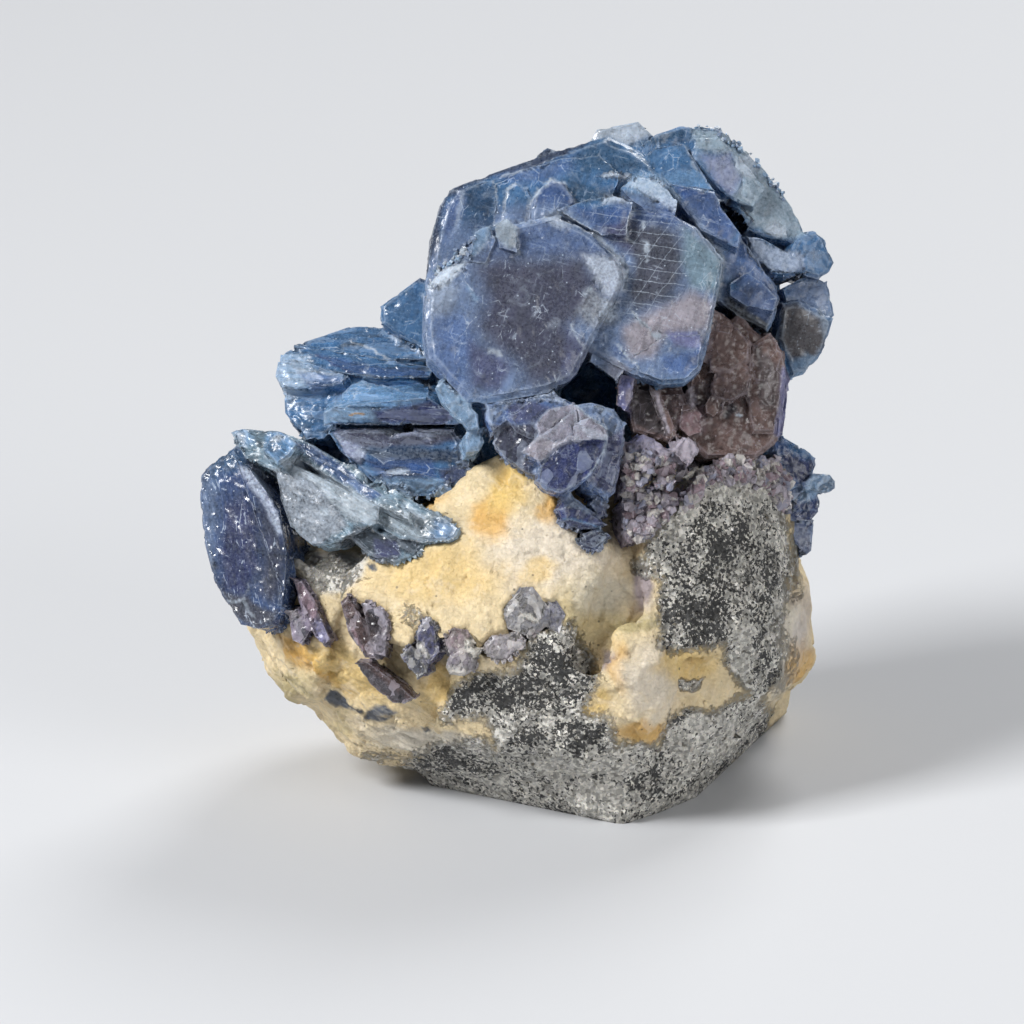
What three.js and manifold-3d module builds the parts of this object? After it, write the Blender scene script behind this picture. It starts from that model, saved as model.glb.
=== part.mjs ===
// A sapphire specimen: blue tabular corundum crystals on a lump of cream feldspar and grey gneiss.
// It is modelled in the frame of someone who looks at its good side from a little above:
// x runs to the right, d runs away from the viewer and h runs up, all in millimetres.
// The whole group is then tipped so that the ground is level and +Z is up.
import * as THREE from "three";
import { ConvexGeometry } from "three/addons/geometries/ConvexGeometry.js";
import { ImprovedNoise } from "three/addons/math/ImprovedNoise.js";
import { mergeVertices } from "three/addons/utils/BufferGeometryUtils.js";
import Module from "manifold-3d";

const wasm = await Module();
wasm.setup();

// Driving dimensions.
const LOOK_DOWN = THREE.MathUtils.degToRad(18); // how far the good side leans back from upright
const GROUND_H = 3; // height of the ground, in the viewer's frame, under the origin
const FIT_GAP = 0.3; // clearance between a crystal and what holds it
const CORE_CENTRE = new THREE.Vector3(4, 4, 25); // middle of the rock's rounded core
const CORE_FRONT = 22.5; // from the middle to the front of the core
const CORE_BACK = 25; // and to its back
const CORE_SQUARENESS = 2.3; // 2 is an ellipse, more is boxier
const CORE_DETAIL = 5; // subdivisions of the core's starting ball
const LUMP_HEIGHT = 1.3; // height of the core's broad lumps
const LUMP_SIZE = 13; // and the distance between them
const CHIP_HEIGHT = 0.9; // height of its small breaks
const CHIP_SIZE = 5; // and the distance between them

// The core's outline from in front, [x, h], clockwise from its lowest point.
const CORE_OUTLINE = [
  [13.5, 1], [6, 2.6], [-4, 4.8], [-10.3, 6], [-16.5, 8.3], [-20.9, 10.5], [-24, 13.5], [-28.4, 18],
  [-31.8, 22.3], [-33.6, 27], [-33, 33], [-26, 35.5], [-16, 37], [-8, 40.5], [-2, 44], [4, 45.5],
  [14, 46.5], [24, 47], [33, 45], [35.4, 40], [35.8, 34.5], [36.6, 30], [37.2, 25], [36.8, 20],
  [34.6, 16], [31.4, 12.2], [26, 6.8], [22, 3.8], [18.5, 2],
];

// Angular broken pieces that stand out from the core, by their corners, [x, d, h].
const BROKEN_PIECES = {
  foot: [
    [13.8, -9.6, -0.8], [17.8, -6, 0.5], [22.8, 0, 2.4], [26.3, 12.3, 6.4], [31.8, 26, 10.8],
    [35, 31, 12.8], [32.4, 34, 13.6], [6.8, -3.1, 1.4], [0.3, -1.5, 1.8], [-10.3, 4.6, 3.9],
    [24, 35.5, 14], [9, 33, 13], [-9, 24, 10], [13, -18, 12], [-6, -13, 12], [29, -7, 14],
    [36.6, 20, 24], [35.6, 28, 24], [30, 32.5, 27], [14, 33.5, 28], [-1, 28.5, 24], [-13, 20, 20],
  ],
  backSlope: [
    [35, 24, 30], [31, 29.5, 33], [17, 31, 33], [2, 27, 30], [26, 24, 42.5], [10, 25, 43], [-4, 20, 38],
    [20, 10, 44], [34, 14, 38], [33, 28, 20], [0, 27, 18],
  ],
  lowerLeftLedge: [
    [-24.3, 2, 14], [-23.5, 2, 11], [-20.8, 2, 8], [-16.5, 3, 6.2], [-12.8, 4, 6.2], [-20, -8, 13],
    [-14, -12, 12], [-12, -15, 18], [-22, -11, 20], [-20, 12, 16], [-14, 14, 12], [-24, 8, 22],
  ],
  leftShoulder: [
    [-34.2, 0, 24.6], [-30.3, 0, 18], [-29.3, 1, 15], [-24.4, 2, 13.9], [-30, -9.5, 26], [-24, -13.5, 22],
    [-24, -12, 16], [-33, 8, 28], [-26, 10, 18], [-34.4, -4, 31], [-26, -13, 33], [-20, -15.5, 30],
  ],
  feldsparWall: [
    [-5.4, -17.4, 42.2], [-2.4, -18.4, 45.4], [0.2, -19, 45.2], [3, -20.5, 42.6], [6, -21.6, 37],
    [13, -21, 33], [-14, -17.8, 34], [-9.6, -18, 37.8], [5, -23.4, 25], [-6, -23, 24], [-12, -21.4, 22],
    [-20, -18, 24], [-22, -16.4, 30], [-2, -22.4, 18], [6, -22.6, 18], [-14, 0, 36], [10, 0, 44],
    [0, 0, 46],
  ],
  rightBoulder: [
    [14.6, -19.6, 33], [16.6, -20.4, 25], [20, -19, 38], [24, -16.5, 43.6], [29, -12.6, 46], [34, -6, 44.6],
    [35.3, -2, 38], [35, -5, 29], [30, -14, 23], [23, -18.4, 19], [36, 10, 40], [20, 0, 41], [36, 8, 28],
  ],
  rightEdge: [
    [37.4, 4, 31], [38.2, 5, 26.5], [38.6, 8, 20.6], [36.2, 12, 16.4], [34, -7, 24], [32.6, -5, 16],
    [36, 18, 24], [35.4, 14, 34], [30, 0, 14],
  ],
  lowerFront: [
    [-7, -20, 20], [4, -22.6, 19.6], [12, -22.4, 18], [20, -18, 15.6], [-2, -16.6, 9], [8, -17, 7],
    [16, -14.6, 5.6], [-11, -14.6, 11], [0, 0, 8], [16, 0, 6],
  ],
  feldsparLump: [
    [12, -21.4, 25], [17.4, -20.6, 26], [21.4, -19, 20.6], [20.4, -18.2, 12.4], [15, -20, 10.4],
    [11, -21.8, 15], [13.6, -22.9, 20], [17.6, -21.8, 19.4], [16, -10, 18],
  ],
  backRidge: [
    [-12, 22, 34], [2, 27, 38], [16, 28, 36], [28, 24, 38], [34, 20, 32], [-18, 18, 26], [0, 10, 42],
    [20, 10, 44], [10, 30, 26], [30, 29, 24], [-6, 28, 22],
  ],
};

const noise = new ImprovedNoise();

// Turns a three.js geometry into a solid that can be joined and cut.
function solidFrom(geometry) {
  const bare = geometry.clone();
  bare.deleteAttribute("normal");
  bare.deleteAttribute("uv");
  const merged = mergeVertices(bare, 1e-4);
  const mesh = new wasm.Mesh({
    numProp: 3,
    vertProperties: merged.attributes.position.array,
    triVerts: new Uint32Array(merged.index.array),
  });
  return new wasm.Manifold(mesh);
}

// Turns a solid back into a three.js geometry.
function geometryFrom(solid) {
  const mesh = solid.getMesh();
  const stride = mesh.numProp;
  const points = new Float32Array(mesh.numVert * 3);
  for (let i = 0; i < mesh.numVert; i++) {
    points.set(mesh.vertProperties.subarray(i * stride, i * stride + 3), i * 3);
  }
  const geometry = new THREE.BufferGeometry();
  geometry.setAttribute("position", new THREE.BufferAttribute(points, 3));
  geometry.setIndex(new THREE.BufferAttribute(mesh.triVerts, 1));
  return geometry;
}

// The middle of a list of points.
function middleOf(points) {
  const middle = new THREE.Vector3();
  points.forEach((point) => middle.add(point));
  return middle.divideScalar(points.length);
}

// Draws a rim of corners in towards its middle by a distance, or out if it is negative.
function drawnIn(rim, distance) {
  const middle = middleOf(rim);
  return rim.map((corner) => {
    const inward = middle.clone().sub(corner);
    return corner.clone().addScaledVector(inward, Math.min(distance / inward.length(), 0.9));
  });
}

// A tabular crystal. rim lists the corners of its broad face, [x, h], as seen from in front; at is
// the depth of the face's middle, and leanX and leanH say how much deeper it gets for each
// millimetre to the right and up. thick is measured square to the face. chamfer is the width of
// the sloping faces round the front, and taper draws in the back.
function tablet({ rim, at, leanX = 0, leanH = 0, thick, chamfer = 0.6, taper = 0.8 }) {
  const flat = rim.map(([x, h]) => new THREE.Vector3(x, 0, h));
  const middle = middleOf(flat);
  const away = new THREE.Vector3(-leanX, 1, -leanH).normalize();
  const face = flat.map((corner) => {
    const depth = at + leanX * (corner.x - middle.x) + leanH * (corner.z - middle.z);
    return new THREE.Vector3(corner.x, depth, corner.z);
  });
  const ring = (inset, distance) =>
    drawnIn(face, inset).map((corner) => corner.addScaledVector(away, distance));
  const grown = FIT_GAP * 1.25;
  const front = chamfer > 0 ? [...ring(chamfer, 0), ...ring(0, chamfer * 0.8)] : ring(0, 0);
  return {
    corners: [...front, ...ring(0, thick - taper), ...ring(taper, thick).filter((_, i) => i % 2 === 0)],
    roomCorners: [...ring(-grown, -FIT_GAP), ...ring(-grown, thick + FIT_GAP)],
  };
}

// A small six-sided crystal with a blunt point towards the viewer.
function stubby({ at, radius, long, turn = 0, tip = 0.55, leanX = 0, leanH = 0 }) {
  const away = new THREE.Vector3(leanX, 1, leanH).normalize();
  const twist = new THREE.Quaternion().setFromUnitVectors(new THREE.Vector3(0, 1, 0), away);
  const middle = new THREE.Vector3(...at);
  const ring = (size, depth) =>
    Array.from({ length: 6 }, (_, i) => {
      const angle = turn + (i * Math.PI) / 3;
      const corner = new THREE.Vector3(Math.cos(angle) * size, depth, Math.sin(angle) * size);
      return corner.applyQuaternion(twist).add(middle);
    });
  const body = (more) => [
    ...ring(radius * tip + more, -long / 2 - more),
    ...ring(radius + more, -long / 4),
    ...ring(radius * 0.8 + more, long / 2 + more),
  ];
  return { corners: body(0), roomCorners: body(FIT_GAP * 1.15) };
}

// A convex solid round a list of corners.
function hull(corners) {
  return solidFrom(new ConvexGeometry(corners));
}

// Crystals that grew into each other: one solid, and the room that it needs.
function intergrown(crystals) {
  return {
    solid: wasm.Manifold.union(crystals.map(({ corners }) => hull(corners))),
    room: wasm.Manifold.union(crystals.map(({ roomCorners }) => hull(roomCorners))),
  };
}

// How far the core's outline lies from its middle, at an angle in the plane of the outline.
function outlineReach(angle) {
  const turns = CORE_OUTLINE.map(([x, h]) => {
    const across = x - CORE_CENTRE.x;
    const up = h - CORE_CENTRE.z;
    return { angle: Math.atan2(up, across), reach: Math.hypot(across, up) };
  }).sort((a, b) => a.angle - b.angle);
  const after = turns.findIndex((turn) => turn.angle > angle);
  const next = turns[after === -1 ? 0 : after];
  const last = turns.at(after === -1 ? -1 : after - 1);
  const span = (next.angle - last.angle + 2 * Math.PI) % (2 * Math.PI);
  const along = ((angle - last.angle + 2 * Math.PI) % (2 * Math.PI)) / span;
  return THREE.MathUtils.lerp(last.reach, next.reach, along);
}

// A lumpiness between about -1 and 1 whose bumps lie a given distance apart.
function lumpiness(spot, distance) {
  return noise.noise(spot.x / distance + 3.1, spot.y / distance + 7.7, spot.z / distance + 1.3);
}

// How far the core reaches from its middle along a direction.
function coreReach(way) {
  const planar = Math.hypot(way.x, way.z) / outlineReach(Math.atan2(way.z, way.x));
  const depth = Math.abs(way.y) / (way.y < 0 ? CORE_FRONT : CORE_BACK);
  const reach = (planar ** CORE_SQUARENESS + depth ** CORE_SQUARENESS) ** (-1 / CORE_SQUARENESS);
  const spot = way.clone().multiplyScalar(reach);
  // The outline seen from in front stays where it was measured, so the lumps fade out there.
  const fade = 0.35 + 0.65 * Math.min(1, Math.abs(way.y) * 2.2);
  const lumps = LUMP_HEIGHT * lumpiness(spot, LUMP_SIZE);
  const chips = CHIP_HEIGHT * lumpiness(spot, CHIP_SIZE);
  return reach + fade * (lumps + chips);
}

// The rounded core of the rock.
function core() {
  const ball = new THREE.IcosahedronGeometry(1, CORE_DETAIL);
  const place = ball.attributes.position;
  const way = new THREE.Vector3();
  for (let i = 0; i < place.count; i++) {
    way.fromBufferAttribute(place, i).normalize();
    way.multiplyScalar(coreReach(way)).add(CORE_CENTRE);
    place.setXYZ(i, way.x, way.y, way.z);
  }
  return solidFrom(ball);
}

// Everything below the ground, to cut the flat that the specimen rests on.
function ground() {
  const block = new THREE.BoxGeometry(200, 200, 60);
  block.translate(0, 0, -30);
  block.rotateX(LOOK_DOWN);
  block.translate(0, 0, GROUND_H);
  return solidFrom(block);
}

// The rock before the crystals' sockets are cut.
function rock() {
  const pieces = Object.values(BROKEN_PIECES).map((corners) =>
    hull(corners.map((corner) => new THREE.Vector3(...corner))),
  );
  return wasm.Manifold.union([core(), ...pieces]).subtract(ground());
}

// The big front plate on the crown's left, with the two pale teeth on its upper edge.
function frontLeftPlates() {
  const plate = tablet({
    rim: [
      [-10.6, 66], [-7.8, 69.2], [-4.4, 72.6], [-1.5, 73.8], [5.5, 75.4], [9.3, 73.6], [13.5, 70],
      [14.1, 67.5], [13.3, 65.4], [10.5, 60.4], [7.8, 54.9], [4.5, 53.3], [-3.3, 51.9], [-5.5, 52.1],
      [-10.3, 57.4], [-10.8, 61],
    ],
    at: -21, leanX: 0.1, leanH: 0.16, thick: 6, chamfer: 0.8,
  });
  const leftTooth = tablet({
    rim: [[-5.6, 69.2], [-4.6, 73], [-2.5, 74.1], [-1.9, 72], [-3.2, 69]],
    at: -20.6, leanX: 0.1, leanH: 0.1, thick: 3, chamfer: 0,
  });
  const rightTooth = tablet({
    rim: [[-2.1, 73.8], [-0.8, 74.7], [0.9, 73.4], [0.7, 70.4], [-1.6, 71]],
    at: -20.8, leanX: 0.1, leanH: 0.12, thick: 3, chamfer: 0,
  });
  return [plate, leftTooth, rightTooth];
}

// The front plate on the crown's right, with its foot and the layer that overlaps its top.
function frontRightPlates() {
  const plate = tablet({
    rim: [
      [9.8, 76.6], [16.8, 76], [20, 75.6], [23, 74.1], [26.4, 69.8], [25.4, 65.1], [24.4, 59.4],
      [23.5, 56.1], [21.5, 54.4], [18.5, 54.1], [15, 55.4], [9.5, 58.1], [8.5, 66],
    ],
    at: -17.5, leanX: 0.05, leanH: 0.14, thick: 5, chamfer: 0.7,
  });
  const foot = tablet({
    rim: [[9.8, 58.6], [9.5, 56.8], [12.8, 54.5], [14.6, 56.8], [13.3, 59.6]],
    at: -18, leanX: 0.05, leanH: 0.14, thick: 4, chamfer: 0,
  });
  const layer = tablet({
    rim: [[5.6, 75.8], [9.3, 77.3], [12.6, 77.7], [15.1, 76.9], [14.2, 72.6], [11, 72.6], [7.3, 74.6]],
    at: -17.6, leanX: 0.05, leanH: 0.2, thick: 3, chamfer: 0,
  });
  const lowStep = tablet({
    rim: [[14.8, 58], [19, 60.4], [23.6, 60.6], [23.2, 56.4], [21.4, 54.8], [18.6, 54.6], [15.4, 55.8]],
    at: -19.2, leanX: 0.05, leanH: 0.18, thick: 3, chamfer: 0,
  });
  return [plate, foot, layer, lowStep];
}

// The dark plate that rises behind the front ones, with the thin layers and hillocks on its face.
function backPlates() {
  const plate = tablet({
    rim: [
      [-10.9, 66.4], [-10, 73.1], [-9, 76.9], [-7.8, 78.9], [-4, 80.4], [5, 83.6], [9.8, 85],
      [12, 85.6], [16, 83.8], [22.3, 78.8], [22, 62], [6, 57], [-8, 58],
    ],
    at: -11.5, leanX: 0.04, leanH: 0.22, thick: 11, chamfer: 1.3, taper: 2,
  });
  const innerLayer = tablet({
    rim: [[-2.4, 74], [-2.2, 79.3], [1, 81], [6, 82.5], [11, 82.9], [13.6, 80.6], [12.4, 76.6], [6, 73]],
    at: -12.2, leanX: 0.04, leanH: 0.22, thick: 2, chamfer: 0,
  });
  const leftHillock = tablet({
    rim: [[-1, 74], [-0.9, 78.3], [0.4, 79.2], [1.9, 78.8], [2.7, 76.9], [2.3, 73.6]],
    at: -13.1, leanX: 0.04, leanH: 0.22, thick: 2, chamfer: 0,
  });
  const rightHillock = tablet({
    rim: [[2.5, 73.6], [2.5, 77.8], [4, 79.5], [5.3, 79.9], [7, 78.8], [8.1, 76.9], [6, 74]],
    at: -13.5, leanX: 0.04, leanH: 0.22, thick: 2, chamfer: 0.5,
  });
  const edgeBump = tablet({
    rim: [[2.6, 82.2], [3.3, 83.3], [4.4, 83.9], [5.6, 83.5], [5.4, 82.4]],
    at: -8.4, leanH: 0.2, thick: 4, chamfer: 0,
  });
  const tip = tablet({
    rim: [[9.8, 85.2], [10.5, 86.5], [12.3, 86.4], [15.8, 87.5], [17.8, 85.6], [17, 82], [10, 80]],
    at: -1.5, leanH: 0.15, thick: 6,
  });
  const whitePatch = tablet({
    rim: [[13.3, 78.6], [14.8, 80.3], [17.8, 80.5], [20.6, 77.1], [20.3, 75], [17.3, 75.4], [14.8, 77]],
    at: -14.6, leanX: 0.1, leanH: 0.4, thick: 4, chamfer: 0,
  });
  const leftShoulder = tablet({
    rim: [[-16.5, 61.9], [-16.6, 64.2], [-14, 66], [-11.5, 67.9], [-8, 66], [-8, 57], [-13.4, 60]],
    at: -10, leanX: -0.1, leanH: 0.2, thick: 8, chamfer: 0.6,
  });
  return [plate, innerLayer, leftHillock, rightHillock, edgeBump, tip, whitePatch, leftShoulder];
}

// The paler plates that fill the crown's right side.
function rightPlates() {
  const top = tablet({
    rim: [
      [17.8, 85.6], [21, 86.8], [24.8, 86.8], [27, 85.8], [29.8, 83.5], [33.5, 79.4], [35.8, 75.7],
      [36.8, 73.1], [35.3, 71.9], [31.3, 72.8], [29, 73.9], [22.3, 80], [18, 81.5],
    ],
    at: -5, leanX: 0.36, leanH: 0.25, thick: 8, chamfer: 0.5,
  });
  const topStep = tablet({
    rim: [[22.4, 82.4], [22.6, 85.2], [25.6, 85.6], [29, 82.6], [32, 78.8], [30.4, 76], [26.8, 77.6]],
    at: -6.9, leanX: 0.33, leanH: 0.2, thick: 3, chamfer: 0.5,
  });
  const upperFacet = tablet({
    rim: [[16, 82.5], [17.9, 84.1], [21.3, 84.6], [23, 82], [25.3, 78.4], [19.8, 78.8]],
    at: -8.6, leanX: 0.1, leanH: 0.45, thick: 6, chamfer: 0,
  });
  const lowerFacet = tablet({
    rim: [[19, 79.6], [25.3, 78.5], [26.5, 76.2], [28.7, 72.9], [28.3, 71], [23.5, 73.4], [21, 76.4]],
    at: -12.3, leanX: 0.25, leanH: 0.3, thick: 6, chamfer: 0.4,
  });
  const middle = tablet({
    rim: [
      [22.6, 74.4], [25.5, 77], [28.5, 73], [31, 68.4], [33.3, 66.4], [33.5, 64.9], [32.6, 61.6],
      [31.8, 60.9], [28, 62.9], [25, 65],
    ],
    at: -10.6, leanX: 0.2, leanH: 0.1, thick: 10, chamfer: 0.6,
  });
  const middleStep = tablet({
    rim: [[26.8, 66.9], [29.1, 68.4], [31.5, 66.8], [33, 65], [32.6, 63.3], [29.1, 63.9], [27, 65.3]],
    at: -12.2, leanX: 0.2, leanH: 0.25, thick: 5, chamfer: 0,
  });
  const innerLobe = tablet({
    rim: [
      [28.8, 73], [31, 72.9], [34.3, 71], [36.4, 69.8], [36.3, 68.5], [34.8, 67.9], [32.3, 68.1],
      [29.6, 71],
    ],
    at: -8.8, leanX: 0.25, leanH: 0.2, thick: 8, chamfer: 0.6,
  });
  const outerLobe = tablet({
    rim: [
      [36, 73.5], [38, 73.8], [39.3, 72.5], [40.4, 69.6], [39.8, 68.4], [38.5, 67.3], [35.5, 68.2],
      [34.3, 70.5],
    ],
    at: -5.4, leanX: 0.3, leanH: 0.1, thick: 9, chamfer: 0.6,
  });
  const lowBlue = tablet({
    rim: [[33.3, 66.4], [36, 67.8], [39.5, 67.5], [40, 65.1], [40.4, 63], [37, 61], [34.3, 63]],
    at: -5.4, leanX: 0.2, leanH: 0.15, thick: 9, chamfer: 0.5,
  });
  const lowDark = tablet({
    rim: [
      [33.5, 64.6], [36, 65], [39, 63.4], [40.3, 62.6], [39.3, 59.6], [39, 58.1], [36.5, 55.4],
      [34.8, 54.9], [32.8, 60],
    ],
    at: -6.6, leanX: 0.2, leanH: -0.1, thick: 9, chamfer: 0.8, taper: 1.5,
  });
  return [top, topStep, upperFacet, lowerFacet, middle, middleStep, innerLobe, outerLobe, lowBlue, lowDark];
}

// What joins the crown's plates, and the plates on its far side.
function rearPlates() {
  const heart = tablet({
    rim: [[-6, 44], [-7, 66], [4, 80], [22, 80], [31, 70], [32, 46], [10, 40]],
    at: -5, leanH: 0.05, thick: 15, chamfer: 0, taper: 3,
  });
  const left = tablet({
    rim: [[-12, 50], [-10, 68], [-3, 77], [7, 80], [13, 72], [12, 50], [2, 44]],
    at: 5, leanX: -0.15, leanH: 0.1, thick: 9, chamfer: 0, taper: 1.2,
  });
  const right = tablet({
    rim: [[8, 48], [10, 76], [19, 83], [28, 80], [34, 70], [33, 54], [24, 44]],
    at: 4, leanX: 0.2, leanH: 0.02, thick: 9, chamfer: 0, taper: 1.2,
  });
  const low = tablet({
    rim: [[0, 42], [-3, 54], [4, 64], [15, 66], [23, 58], [22, 44], [10, 38]],
    at: 12, leanX: 0.05, leanH: -0.12, thick: 7, chamfer: 0, taper: 1.2,
  });
  return [heart, left, right, low];
}

// Open pockets between the crown's plates.
function pockets() {
  const cavity = tablet({
    rim: [[6.2, 53.6], [9.6, 57], [12.8, 54.7], [13, 51], [9.6, 50.4], [6.4, 51.6]],
    at: -24, thick: 24, chamfer: 0.1, taper: 1.5,
  });
  const slit = tablet({
    rim: [[25.8, 77.1], [27, 76.9], [28.4, 75.4], [29.3, 73.9], [28.5, 73], [27.3, 74.6], [26.2, 76.2]],
    at: -14, thick: 16, chamfer: 0.1,
  });
  return wasm.Manifold.union([cavity, slit].map(({ corners }) => hull(corners)));
}

// The crown: the big blue plates at the top and those that grew behind them.
function crown() {
  const plates = [
    ...frontLeftPlates(), ...frontRightPlates(), ...backPlates(), ...rightPlates(), ...rearPlates(),
  ];
  const { solid, room } = intergrown(plates);
  return { solid: solid.subtract(pockets()), room };
}

// Brownish layered plates under the crown's right side.
function brownPlates() {
  const back = tablet({
    rim: [
      [24, 63], [28, 62.6], [31, 60.4], [34.1, 58.6], [34.3, 55], [33.4, 47.5], [30.4, 45], [24, 45],
      [21, 48], [21.8, 56],
    ],
    at: -12, leanX: 0.2, leanH: 0.1, thick: 8, chamfer: 0.6,
  });
  const bigOval = tablet({
    rim: [
      [25.5, 63.6], [27, 62.9], [29.9, 59.4], [29.4, 57], [27, 55.4], [24.4, 55.8], [23.6, 59],
      [24.2, 62.4],
    ],
    at: -13.9, leanX: 0.15, leanH: 0.12, thick: 4, chamfer: 0.5,
  });
  const nextOval = tablet({
    rim: [[25.5, 56.4], [28.6, 57.4], [30, 55.6], [29.4, 53], [27, 51.8], [25, 52.4], [24.3, 54.4]],
    at: -14.4, leanX: 0.1, leanH: 0.15, thick: 4, chamfer: 0.5,
  });
  const rightPlate = tablet({
    rim: [
      [29.8, 59.4], [32, 60.9], [33.2, 59.9], [34.3, 57], [33.8, 53.1], [32.7, 48.1], [29.8, 48.1],
      [28.6, 54],
    ],
    at: -12.2, leanX: 0.25, leanH: 0.1, thick: 5, chamfer: 0.5,
  });
  const smallOval = tablet({
    rim: [[23.8, 51.9], [24.5, 53], [25.7, 53.1], [26.5, 52.2], [26.2, 50.8], [25, 50.2], [24, 50.7]],
    at: -14.8, leanX: 0.1, leanH: 0.1, thick: 4, chamfer: 0,
  });
  const leftPlate = tablet({
    rim: [
      [14.6, 55.8], [17.6, 55], [21.2, 54.2], [22, 51.6], [20.4, 48.1], [19.4, 47.1], [14.9, 48.4],
      [14.4, 51],
    ],
    at: -14.6, leanX: 0.05, leanH: 0.15, thick: 6, chamfer: 0.5,
  });
  const paleRib = tablet({
    rim: [[16.5, 54.8], [17.6, 54.9], [19.1, 51.9], [20.6, 48], [19.6, 47.3], [17.8, 50.6]],
    at: -15.7, leanX: 0.05, leanH: 0.15, thick: 2, chamfer: 0,
  });
  const midOval = tablet({
    rim: [[21, 51.9], [22.5, 52.2], [23.6, 50.6], [23.5, 48.3], [21.8, 47.8], [20.6, 48.9]],
    at: -15, leanX: 0.1, leanH: 0.1, thick: 4, chamfer: 0,
  });
  const blueFinger = tablet({
    rim: [[12.9, 54.4], [14.1, 56.1], [15.1, 55.4], [14.9, 52.4], [13.9, 50.9], [12.7, 51.7]],
    at: -17, leanX: -0.2, leanH: 0.1, thick: 5, chamfer: 0,
  });
  const blueEdge = tablet({
    rim: [[33, 58], [34.6, 56], [34.4, 52.4], [33.8, 48], [32.3, 47.4]],
    at: -6, leanX: 0.1, thick: 6, chamfer: 0,
  });
  return intergrown([
    back, bigOval, nextOval, rightPlate, smallOval, leftPlate, paleRib, midOval, blueFinger, blueEdge,
  ]);
}

// The blocky cluster in the middle of the front.
function frontCluster() {
  const upperLeft = tablet({
    rim: [
      [-3.5, 52.8], [-2.8, 53.6], [0.1, 56.9], [1.1, 56.6], [3.1, 53.6], [1.6, 51], [-2.4, 48.1],
      [-3.2, 49.8],
    ],
    at: -22.8, leanX: 0.1, leanH: 0.25, thick: 6, chamfer: 0.5,
  });
  const middle = tablet({
    rim: [
      [-0.9, 50.4], [1.6, 52.6], [3.6, 53.5], [5.4, 53.6], [8.1, 51.8], [7.8, 47.9], [4.4, 46.4],
      [0.4, 48.4],
    ],
    at: -23.8, leanX: 0.1, leanH: 0.35, thick: 7, chamfer: 0.6,
  });
  const lowerLeft = tablet({
    rim: [
      [-2.4, 48.1], [-1, 49.8], [1.1, 49.5], [3.6, 47.9], [3.3, 44.4], [2.9, 42.9], [2.1, 42.9],
      [-1.6, 45.3], [-2.6, 47],
    ],
    at: -23.4, leanX: -0.1, leanH: 0.1, thick: 7, chamfer: 0.4,
  });
  const paleWedge = tablet({
    rim: [[1.5, 45.8], [3.6, 47.7], [6, 49.2], [7.8, 51], [8, 47.9], [5.3, 45.8], [3.4, 44.4]],
    at: -25.6, leanX: 0.1, leanH: 0.35, thick: 4, chamfer: 0,
  });
  const right = tablet({
    rim: [
      [7.9, 51.9], [9.9, 52.2], [12.6, 51.4], [14.4, 49.5], [13.9, 45.6], [12.9, 40.9], [11.9, 39.9],
      [9.1, 41.6], [8, 46],
    ],
    at: -24, leanX: 0.2, leanH: 0.15, thick: 8, chamfer: 0.6,
  });
  const frontDark = tablet({
    rim: [
      [3.1, 44.1], [5.6, 47.1], [7.9, 47.8], [11.8, 47.7], [11.6, 46], [10.1, 42.9], [7.6, 41.3],
      [6.1, 40.7], [4.6, 40.9], [2.9, 42.4],
    ],
    at: -26.4, leanX: 0.1, leanH: 0.1, thick: 6, chamfer: 0.4,
  });
  const frontStep = tablet({
    rim: [[7.7, 49.4], [9.8, 49.9], [11.5, 49.5], [12.1, 48], [11.8, 47.3], [7.9, 47.4]],
    at: -25.7, leanX: 0.1, leanH: 0.6, thick: 4, chamfer: 0,
  });
  return intergrown([upperLeft, middle, lowerLeft, paleWedge, right, frontDark, frontStep]);
}

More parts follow.
